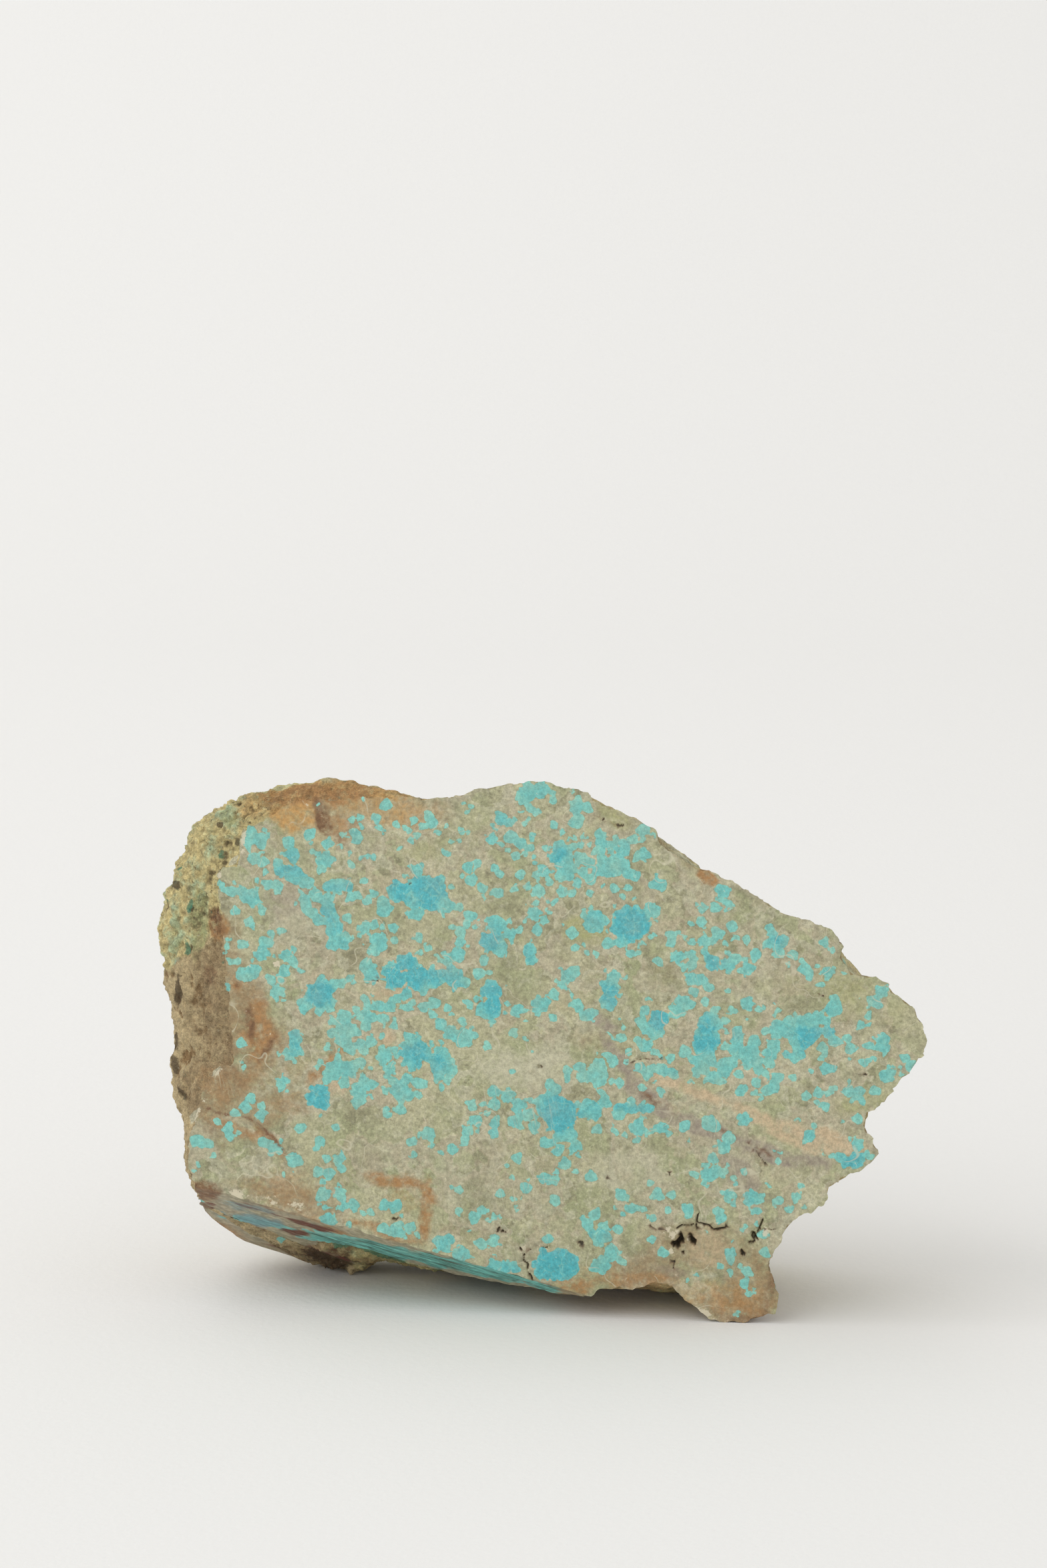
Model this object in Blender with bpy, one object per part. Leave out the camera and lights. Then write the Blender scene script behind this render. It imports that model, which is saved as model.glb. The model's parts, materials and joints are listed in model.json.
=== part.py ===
"""Raw turquoise nugget: a chunk of turquoise-bearing rock with two saw cuts.

The stone is one solid that stands on edge. Its front is sawn flat, a second,
shallow saw cut takes off the lower left edge, and the rest is natural rind.

Shapes are written in millimetres on the stone itself: "along" runs from its
left end, "back" runs from the sawn face into the stone, and "up" runs from the
surface that it stands on. The finished solid is in metres, +Z up, with the
sawn face towards -Y and its origin at the bottom centre of its box.
"""

import math

import bmesh
import bpy
from mathutils import Matrix, Vector, geometry, noise

MM = 0.001
NAME = "turquoise_nugget"

# Driving sizes, in millimetres.
THICKNESS = 38.0          # sawn face to the crown of the back
HEEL_BACK = 24.0          # depth of the outline that the stone stands on
SHOULDER_BACK = 32.0      # depth where the flanks turn over into the back
CENTRE = (57.0, 41.0)     # along, up: the outlines are read as rays from here
MAX_RAY_STEP = math.radians(2.6)

# The outline of the sawn face (along, up), clockwise from the left shoulder.
# The lower left corner is as it was before the second cut.
SAWN_FACE = [
    (8.9, 67.2), (11.5, 68.6), (12.2, 70.1), (13.0, 71.3), (12.3, 71.9),
    (12.5, 73.0), (15.1, 74.9), (18.1, 76.8), (21.0, 78.4), (24.7, 78.8),
    (32.7, 79.1), (37.7, 79.4), (41.7, 79.0), (44.2, 79.3), (47.9, 80.5),
    (52.2, 81.5), (57.9, 82.0), (59.9, 81.3), (64.3, 80.3), (66.3, 78.9),
    (71.1, 76.9), (74.1, 75.4), (75.1, 73.4), (76.6, 72.0), (79.5, 70.0),
    (83.7, 68.5), (86.3, 67.3), (90.0, 65.2), (93.2, 62.9), (96.9, 61.9),
    (100.4, 60.6), (102.6, 58.4), (102.1, 56.3), (103.5, 53.9), (105.2, 53.5),
    (107.0, 53.7), (109.1, 52.8), (109.7, 51.3), (113.1, 49.0), (114.3, 46.6),
    (115.0, 43.8), (114.6, 42.3), (112.7, 39.4), (110.2, 36.8), (109.0, 34.8),
    (106.6, 32.9), (105.8, 30.4), (107.0, 29.0), (108.1, 27.1), (107.0, 25.2),
    (103.0, 22.7), (100.4, 21.2), (100.7, 19.7), (99.6, 18.5), (96.4, 16.7),
    (94.4, 14.7), (92.7, 11.3), (91.8, 8.6), (93.0, 6.4), (93.4, 3.5),
    (92.8, 1.8), (90.5, 0.8), (88.2, 0.2), (85.5, 0.1), (83.0, 0.6),
    (81.2, 2.2), (79.4, 3.0), (77.7, 5.4), (75.4, 5.8), (70.4, 4.7),
    (66.1, 4.7), (65.1, 3.5), (60.0, 2.4), (48.0, 2.6), (34.0, 4.6),
    (20.0, 8.0), (10.0, 11.0), (5.6, 14.5), (4.8, 19.5), (3.8, 22.6),
    (4.2, 26.8), (4.9, 29.1), (6.0, 32.5), (7.6, 36.2), (9.4, 37.5),
    (11.1, 37.9), (10.7, 42.5), (10.4, 47.6), (9.8, 52.7), (9.9, 56.6),
    (9.4, 60.4), (8.9, 64.5),
]

# The widest line of the flanks (along, up, back). On the left the rind swells
# out beyond the sawn face; elsewhere the flanks draw in straight away.
GIRDLE = [
    (0.7, 40.7, 9.0), (0.4, 44.1, 9.0), (-0.5, 46.7, 9.0), (-1.2, 50.6, 9.0),
    (-1.8, 54.7, 9.0), (-1.5, 57.8, 9.0), (-0.7, 61.8, 9.0), (0.8, 64.8, 9.0),
    (1.9, 67.5, 9.0), (2.5, 69.3, 8.5), (3.2, 71.7, 8.0), (4.6, 73.6, 7.5),
    (6.3, 74.9, 7.0), (9.2, 75.9, 6.5), (10.4, 77.2, 6.0), (12.6, 78.3, 5.0),
    (14.6, 79.4, 5.0), (16.5, 79.4, 5.0), (18.7, 80.2, 4.5), (23.2, 80.9, 3.0),
    (24.7, 81.6, 3.0), (28.8, 81.2, 3.0), (31.3, 80.6, 3.0), (36.3, 79.4, 2.5),
    (41.7, 78.2, 3.0), (47.9, 79.6, 3.0), (52.2, 80.6, 3.0), (57.9, 81.0, 3.0),
    (64.3, 79.3, 3.0), (71.0, 76.0, 3.0), (74.0, 74.3, 3.0), (76.0, 71.2, 3.0),
    (83.4, 67.6, 3.0), (90.0, 64.2, 3.0), (93.0, 62.1, 3.0), (100.0, 59.8, 3.0),
    (101.8, 58.0, 3.0), (101.4, 56.2, 3.0), (103.0, 53.2, 3.0), (106.6, 52.8, 3.0),
    (109.0, 51.2, 3.0), (112.4, 48.6, 3.0), (114.0, 44.0, 3.0), (112.0, 39.6, 3.0),
    (109.0, 36.5, 3.0), (106.0, 33.0, 3.0), (105.2, 30.4, 3.0), (106.8, 27.3, 3.0),
    (102.6, 23.4, 3.0), (99.8, 21.0, 3.0), (98.8, 18.8, 3.0), (95.7, 17.2, 3.0),
    (93.8, 14.8, 3.0), (92.0, 11.3, 3.0), (91.2, 8.6, 3.0), (92.2, 6.2, 3.0),
    (92.6, 3.5, 3.0), (91.8, 1.5, 3.0), (88.0, -0.2, 3.0), (84.0, -0.2, 3.0),
    (81.6, 1.6, 3.0), (78.2, 4.9, 3.0), (75.4, 5.2, 3.0), (70.0, 4.2, 4.0),
    (66.0, 4.0, 5.0), (60.0, 2.9, 6.0), (45.7, 3.9, 8.0), (37.3, 5.5, 8.5),
    (31.2, 7.2, 9.0), (24.8, 8.2, 9.5), (20.5, 8.3, 11.0), (19.0, 7.2, 13.0),
    (17.6, 4.0, 18.0), (14.4, 3.1, 20.0), (11.9, 3.3, 20.5), (8.0, 4.4, 20.5),
    (6.6, 7.2, 18.0), (5.2, 9.4, 15.0), (4.6, 12.5, 11.0), (4.2, 15.5, 8.0),
    (3.4, 18.5, 7.0), (2.6, 22.0, 7.0), (2.3, 25.5, 8.0), (1.2, 29.2, 9.0),
    (0.7, 32.7, 9.0), (0.1, 36.2, 9.0),
]

# The outline at HEEL_BACK (along, up). It dips below the floor level where the
# stone stands: a knob on the left and the hind part of the right foot.
HEEL = [
    (2.5, 41.0), (3.0, 47.0), (3.8, 54.0), (5.5, 61.0), (9.0, 67.0),
    (14.0, 72.0), (20.0, 75.0), (27.0, 75.5), (35.0, 73.5), (42.0, 72.5),
    (49.0, 74.0), (57.0, 75.0), (64.0, 73.5), (72.0, 69.5), (80.0, 63.6),
    (88.0, 59.4), (95.5, 55.0), (100.0, 51.5), (104.0, 48.0), (108.0, 43.0),
    (107.0, 37.0), (103.5, 31.0), (101.0, 25.0), (97.0, 21.5), (93.0, 16.5),
    (90.0, 11.0), (89.8, 5.0), (90.0, 1.2), (88.0, -0.7), (77.0, -0.6),
    (73.0, 1.2), (66.0, 1.8), (56.0, 1.6), (46.0, 1.5), (38.0, 1.7),
    (32.0, 1.6), (28.2, 1.0), (25.8, -1.2), (19.4, -1.1), (17.4, 1.4),
    (15.5, 3.6), (12.5, 4.4), (9.5, 5.4), (7.4, 7.6), (5.6, 12.5),
    (4.5, 19.0), (3.4, 26.0), (2.4, 33.0),
]

# The outline at SHOULDER_BACK (along, up), where the back turns over.
SHOULDER = [
    (8.0, 41.0), (8.5, 47.0), (10.5, 54.0), (15.0, 62.0), (23.0, 67.5),
    (33.0, 69.0), (44.0, 68.5), (56.0, 69.0), (68.0, 66.5), (80.0, 61.0),
    (90.0, 55.0), (98.0, 49.0), (102.0, 42.0), (101.0, 33.0), (98.5, 25.0),
    (91.5, 17.0), (88.0, 10.0), (84.0, 5.5), (76.0, 4.5), (62.0, 5.0),
    (48.0, 5.0), (34.0, 5.5), (24.0, 6.5), (17.0, 10.0), (12.0, 16.0),
    (9.5, 24.0), (8.0, 33.0),
]

# The second saw cut: its edge on the sawn face, and how steeply it falls away.
CUT_LEFT = (8.9, 17.8)    # along, up
CUT_RIGHT = (63.8, 3.7)   # along, up
CUT_FALL = 0.62           # millimetres down for each millimetre back

# A flank that the saw left thin draws in fast behind the face; one that swells first draws in slowly.
BROKEN_BEND = 2.2
SWELL_RANGE = (3.5, 7.0)

# Depths of the loft's sections, and the steps over the crown of the back.
FLANK_SECTIONS = (0.0, 0.9, 2.0, 3.3, 5.0, 7.0, 9.0, 11.5, 14.5, 17.5, 20.5, 23.5, 26.5, 29.5, 32.0)
CROWN_TURNS = (0.18, 0.36, 0.54)   # share of the quarter turn over the crown, section by section
CROWN_ROUNDNESS = 0.8
CROWN_GRID = 4.2                   # spacing of the points that carry the middle of the back

# Natural relief of the rind.
LUMP_SIZE = 15.0          # spacing of the broad lumps
LUMP_HEIGHT = 2.2
SCAR_SIZE = 12.0          # spacing of the sharp-crested scars where the rock broke
SCAR_HEIGHT = 1.8
KNOB_SIZE = 5.5           # spacing of the small knobs
KNOB_HEIGHT = 0.45
LEDGE_HEIGHT = 1.3        # a broken ledge that crosses the back
LEDGE_START = (20.0, 58.0)
LEDGE_END = (96.0, 22.0)
RELIEF_SEED = Vector((17.3, 4.9, 31.7))

# Weathered cavities in the sawn face: along, up, half width, half height, depth, turn in degrees.
CAVITIES = {
    "vug_left": (78.7, 12.3, 0.9, 1.6, 1.8, -18.0),
    "vug_right": (80.7, 12.5, 0.7, 1.0, 1.3, -35.0),
    "slot_pit": (90.3, 13.5, 0.5, 1.2, 1.4, -15.0),
    "low_pit": (88.2, 11.0, 0.6, 0.8, 0.8, 0.0),
    "curl_pit": (51.7, 13.2, 0.9, 0.9, 0.7, 0.0),
    "step_pit": (35.6, 14.4, 0.9, 0.5, 0.7, 0.0),
}
CUTTER_RINGS = 6
CUTTER_SEGMENTS = 10

STONE_COLOUR = (0.33, 0.44, 0.36, 1.0)
STONE_ROUGHNESS = 0.62


def clear_scene():
    """Remove every object."""
    for old in list(bpy.data.objects):
        bpy.data.objects.remove(old, do_unlink=True)


def ease(start, end, value):
    """Smooth step from 0 at start to 1 at end."""
    step = min(max((value - start) / (end - start), 0.0), 1.0)
    return step * step * (3.0 - 2.0 * step)


def ray_angle(point):
    """Direction of an outline point, seen from the centre."""
    return math.atan2(point[1] - CENTRE[1], point[0] - CENTRE[0]) % math.tau


def reach(outline, angle):
    """Where a ray from the centre meets an outline: its length, and the depth there."""
    ray = (math.cos(angle), math.sin(angle))
    best = (0.0, 0.0)
    for index, start in enumerate(outline):
        end = outline[(index + 1) % len(outline)]
        edge = (end[0] - start[0], end[1] - start[1])
        side = (start[0] - CENTRE[0], start[1] - CENTRE[1])
        cross = ray[0] * edge[1] - ray[1] * edge[0]
        if abs(cross) < 1e-9:
            continue
        length = (side[0] * edge[1] - side[1] * edge[0]) / cross
        share = (side[0] * ray[1] - side[1] * ray[0]) / cross
        if length > best[0] and -1e-6 <= share <= 1.0 + 1e-6:
            depth = 0.0
            if len(start) > 2:
                depth = start[2] + share * (end[2] - start[2])
            best = (length, depth)
    return best


def ray_angles():
    """A ray through each corner of the sawn face, with others between them where they are far apart."""
    corners = sorted(ray_angle(point) for point in SAWN_FACE)
    angles = []
    for index, angle in enumerate(corners):
        following = corners[(index + 1) % len(corners)]
        gap = (following - angle) % math.tau
        parts = max(1, math.ceil(gap / MAX_RAY_STEP))
        angles.extend(angle + gap * part / parts for part in range(parts))
    return angles


class Ray:
    """One ray from the centre: how far out each outline lies on it."""

    def __init__(self, angle):
        self.direction = (math.cos(angle), math.sin(angle))
        self.face = reach(SAWN_FACE, angle)[0]
        self.girdle, self.girdle_back = reach(GIRDLE, angle)
        self.heel = reach(HEEL, angle)[0]
        self.shoulder = reach(SHOULDER, angle)[0]

    def radius(self, back):
        """Distance of the flank from the centre line at a depth."""
        if back <= self.girdle_back:
            return self.face + (self.girdle - self.face) * math.sin(0.5 * math.pi * back / self.girdle_back)
        if back <= HEEL_BACK:
            share = (back - self.girdle_back) / (HEEL_BACK - self.girdle_back)
            broken = 1.0 - (1.0 - share) ** BROKEN_BEND
            rounded = ease(0.0, 1.0, share)
            swell = ease(*SWELL_RANGE, self.girdle_back)
            return self.girdle + (self.heel - self.girdle) * (broken + (rounded - broken) * swell)
        turn = (back - HEEL_BACK) / (SHOULDER_BACK - HEEL_BACK)
        return self.heel + (self.shoulder - self.heel) * turn * turn

    def point(self, radius, back):
        """A point on the ray, as along, back, up."""
        return Vector((CENTRE[0] + radius * self.direction[0], back, CENTRE[1] + radius * self.direction[1]))


def ledge(point):
    """Height of the broken ledge across the back, at a point."""
    run = (LEDGE_END[0] - LEDGE_START[0], LEDGE_END[1] - LEDGE_START[1])
    offset = (point.x - LEDGE_START[0]) * run[1] - (point.z - LEDGE_START[1]) * run[0]
    offset = offset / math.hypot(*run) + 3.0 * noise.noise(point / 11.0 + RELIEF_SEED)
    return LEDGE_HEIGHT * (ease(-1.5, 1.5, offset) - 0.5)


def relief(point, outward):
    """Move a point of the rind in or out, less near the sawn face and on the swelling left side."""
    amount = ease(6.0, 20.0, point.y)
    lumps = LUMP_HEIGHT * noise.noise(point / LUMP_SIZE + RELIEF_SEED)
    lumps += SCAR_HEIGHT * (0.5 - abs(noise.noise(point / SCAR_SIZE + 2.0 * RELIEF_SEED)))
    knobs = KNOB_HEIGHT * noise.noise(point / KNOB_SIZE - RELIEF_SEED)
    near_face = ease(0.5, 4.0, point.y)
    height = amount * lumps + near_face * knobs + ease(SHOULDER_BACK - 6.0, THICKNESS, point.y) * ledge(point)
    return point + outward * height


def section_points(rays):
    """The loft's sections, from the sawn face to the crown of the back."""
    sections = []
    for back in FLANK_SECTIONS:
        tilt = ease(HEEL_BACK, THICKNESS, back)
        row = []
        for ray in rays:
            outward = Vector((ray.direction[0], tilt, ray.direction[1])).normalized()
            row.append(relief(ray.point(ray.radius(back), back), outward))
        sections.append(row)
    for share in CROWN_TURNS:
        sections.append([crown_point(ray, 0.5 * math.pi * share) for ray in rays])
    return sections


def crown_point(ray, turn):
    """A point on the rounded back, a part of a quarter turn in from the shoulder."""
    back = SHOULDER_BACK + (THICKNESS - SHOULDER_BACK) * math.sin(turn)
    outward = Vector((ray.direction[0] * math.cos(turn), 1.0, ray.direction[1] * math.cos(turn)))
    return relief(ray.point(ray.shoulder * math.cos(turn) ** CROWN_ROUNDNESS, back), outward.normalized())


def crown_grid():
    """Points over the middle of the back, inside the last section."""
    limit = math.cos(0.5 * math.pi * CROWN_TURNS[-1]) ** CROWN_ROUNDNESS
    columns = int(CENTRE[0] / CROWN_GRID)
    points = []
    for column in range(-columns, columns + 1):
        for row in range(-columns, columns + 1):
            side = (column + 0.5 * (row % 2)) * CROWN_GRID
            rise = row * CROWN_GRID * math.sin(math.radians(60.0))
            ray = Ray(math.atan2(rise, side))
            share = math.hypot(side, rise) / ray.shoulder
            if share < limit - 0.03:
                points.append(crown_point(ray, math.acos(share ** (1.0 / CROWN_ROUNDNESS))))
    return points


def close_crown(shape, rim):
    """Close the back: triangles through the last section and the grid points inside it."""
    verts = rim + [shape.verts.new(point) for point in crown_grid()]
    flat = [vert.co.xz for vert in verts]
    border = [(index, (index + 1) % len(rim)) for index in range(len(rim))]
    found = geometry.delaunay_2d_cdt(flat, border, [], 1, 1e-5)
    for triangle in found[2]:
        shape.faces.new([verts[found[3][corner][0]] for corner in triangle])


def loft(sections):
    """A closed mesh through the sections, with a flat front."""
    shape = bmesh.new()
    rows = [[shape.verts.new(point) for point in row] for row in sections]
    count = len(rows[0])
    shape.faces.new(rows[0])
    for near, far in zip(rows, rows[1:]):
        for index in range(count):
            following = (index + 1) % count
            shape.faces.new((near[index], near[following], far[following], far[index]))
    close_crown(shape, rows[-1])
    shape.normal_update()
    bmesh.ops.recalc_face_normals(shape, faces=shape.faces)
    return shape


def saw_second_cut(shape):
    """Take off the lower left edge along a plane, and close the cut."""
    along_edge = Vector((CUT_RIGHT[0] - CUT_LEFT[0], 0.0, CUT_RIGHT[1] - CUT_LEFT[1]))
    normal = along_edge.cross(Vector((0.0, 1.0, -CUT_FALL))).normalized()
    if normal.z > 0.0:
        normal = -normal
    geometry = shape.verts[:] + shape.edges[:] + shape.faces[:]
    bmesh.ops.bisect_plane(
        shape, geom=geometry, dist=0.005, clear_outer=True,
        plane_co=Vector((CUT_LEFT[0], 0.0, CUT_LEFT[1])), plane_no=normal,
    )
    open_edges = [edge for edge in shape.edges if edge.is_boundary]
    bmesh.ops.holes_fill(shape, edges=open_edges, sides=0)


def stand_on_floor(shape):
    """Flatten what would reach below the floor, so that the stone stands on small flats."""
    for vert in shape.verts:
        vert.co.z = max(vert.co.z, 0.0)


def to_world(shape):
    """Turn millimetres on the stone into metres, with the origin at the bottom centre of the box."""
    xs = [vert.co.x for vert in shape.verts]
    ys = [vert.co.y for vert in shape.verts]
    shift = Vector((-0.5 * (min(xs) + max(xs)), -0.5 * (min(ys) + max(ys)), 0.0))
    for vert in shape.verts:
        vert.co = (vert.co + shift) * MM
    return shift


def stone_material():
    """Plain finish of the whole stone."""
    material = bpy.data.materials.new("turquoise_in_matrix")
    material.use_nodes = True
    shader = material.node_tree.nodes["Principled BSDF"]
    shader.inputs["Base Color"].default_value = STONE_COLOUR
    shader.inputs["Roughness"].default_value = STONE_ROUGHNESS
    shader.inputs["Metallic"].default_value = 0.0
    material.diffuse_color = STONE_COLOUR
    return material


def new_collection(name):
    """A collection of the scene."""
    collection = bpy.data.collections.new(name)
    bpy.context.scene.collection.children.link(collection)
    return collection


def make_cutter(name, cavity, shift, collection):
    """An ellipsoid that hollows one cavity out of the sawn face."""
    along, up, half_width, half_height, depth, turn = cavity
    shape = bmesh.new()
    bmesh.ops.create_uvsphere(shape, u_segments=CUTTER_SEGMENTS, v_segments=CUTTER_RINGS, radius=1.0)
    bmesh.ops.scale(shape, vec=Vector((half_width, half_height, depth)) * MM, verts=shape.verts)
    bmesh.ops.rotate(shape, matrix=Matrix.Rotation(math.radians(90.0), 3, "X"), verts=shape.verts)
    mesh = bpy.data.meshes.new(name)
    shape.to_mesh(mesh)
    shape.free()
    cutter = bpy.data.objects.new(name, mesh)
    cutter.location = (Vector((along, 0.0, up)) + shift) * MM
    cutter.rotation_euler = (0.0, math.radians(turn), 0.0)
    cutter.display_type = "WIRE"
    cutter.hide_render = True
    collection.objects.link(cutter)
    return cutter


def make_stone():
    """The stone, with its cavities."""
    rays = [Ray(angle) for angle in ray_angles()]
    shape = loft(section_points(rays))
    saw_second_cut(shape)
    stand_on_floor(shape)
    bmesh.ops.dissolve_degenerate(shape, dist=0.01, edges=shape.edges)
    shape.normal_update()
    bmesh.ops.recalc_face_normals(shape, faces=shape.faces)
    shift = to_world(shape)
    mesh = bpy.data.meshes.new(NAME)
    shape.to_mesh(mesh)
    shape.free()
    mesh.materials.append(stone_material())
    stone = bpy.data.objects.new(NAME, mesh)
    new_collection("raw_turquoise_nugget").objects.link(stone)
    cutters = new_collection("cutters")
    for name, cavity in CAVITIES.items():
        modifier = stone.modifiers.new(name, "BOOLEAN")
        modifier.operation = "DIFFERENCE"
        modifier.solver = "EXACT"
        modifier.object = make_cutter("cutter_" + name, cavity, shift, cutters)
    mesh.shade_smooth()
    mesh.set_sharp_from_angle(angle=math.radians(40.0))
    return stone


def main():
    """Build the object."""
    clear_scene()
    make_stone()


main()
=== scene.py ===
"""A raw turquoise nugget on a pale surface: the stone's own surface, worked over its plain solid.

The solid comes from the frame. Its two saw cuts are taken out and laid again as fine
triangulated sheets that carry the nodules, stains, cracks and pits, and the natural rind
between them is refined and roughened. Lengths are in millimetres until a mesh is made.
Markings are placed by pixels of the studio view, through the view's own rays.
"""

import json
import logging
import math
from dataclasses import dataclass, field, fields
from enum import Enum
from typing import Any, Callable, Iterable, Sequence

import bmesh
import bpy
import numpy as np
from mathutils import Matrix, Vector, geometry, kdtree, noise


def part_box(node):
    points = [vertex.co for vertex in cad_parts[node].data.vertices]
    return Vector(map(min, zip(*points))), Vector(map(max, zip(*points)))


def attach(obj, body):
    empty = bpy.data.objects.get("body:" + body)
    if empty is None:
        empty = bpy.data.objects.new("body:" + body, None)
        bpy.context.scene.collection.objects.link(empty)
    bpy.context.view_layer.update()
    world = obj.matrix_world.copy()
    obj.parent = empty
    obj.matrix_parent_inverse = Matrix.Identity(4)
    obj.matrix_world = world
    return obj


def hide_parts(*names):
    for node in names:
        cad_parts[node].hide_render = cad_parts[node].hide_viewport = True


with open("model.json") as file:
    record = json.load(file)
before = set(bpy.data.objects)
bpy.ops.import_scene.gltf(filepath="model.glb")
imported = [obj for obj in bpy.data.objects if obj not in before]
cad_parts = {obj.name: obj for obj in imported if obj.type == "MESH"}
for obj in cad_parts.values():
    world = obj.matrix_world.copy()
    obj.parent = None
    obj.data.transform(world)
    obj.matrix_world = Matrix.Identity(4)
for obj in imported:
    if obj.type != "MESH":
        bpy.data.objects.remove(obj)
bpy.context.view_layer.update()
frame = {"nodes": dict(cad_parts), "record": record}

LOG = logging.getLogger("nugget")
MM = 0.001
NODE = "turquoise_nugget"
SEED = 20
FAR = 99.0                    # farther apart than any two places on the stone


class Zone(Enum):
    """The three kinds of surface on the stone; the value is the material index."""

    SAWN = 0
    RIND = 1
    CUT = 2


class Stain(Enum):
    """Kinds of staining, each a point attribute on the mesh."""

    RUST = "rust"
    GOLD = "gold"
    # Brown spots and vein cores, and painted shade low along the underside, on the knob and on the foot's
    # right side
    UMBER = "umber"
    PEACH = "peach"
    EARTH = "earth"
    MAUVE = "mauve"
    MOSS = "moss"
    PALE = "pale"
    TEAL = "teal"
    SLATE = "slate"
    # Dark red streaks on the lower cut; on the rind, painted shade on the knob underneath and in dark hollows
    # along the left edge
    STREAK = "streak"
    # Real white crust round the pits, and painted highlights along lit edges
    CRUST = "crust"
    SAW = "saw"
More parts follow.
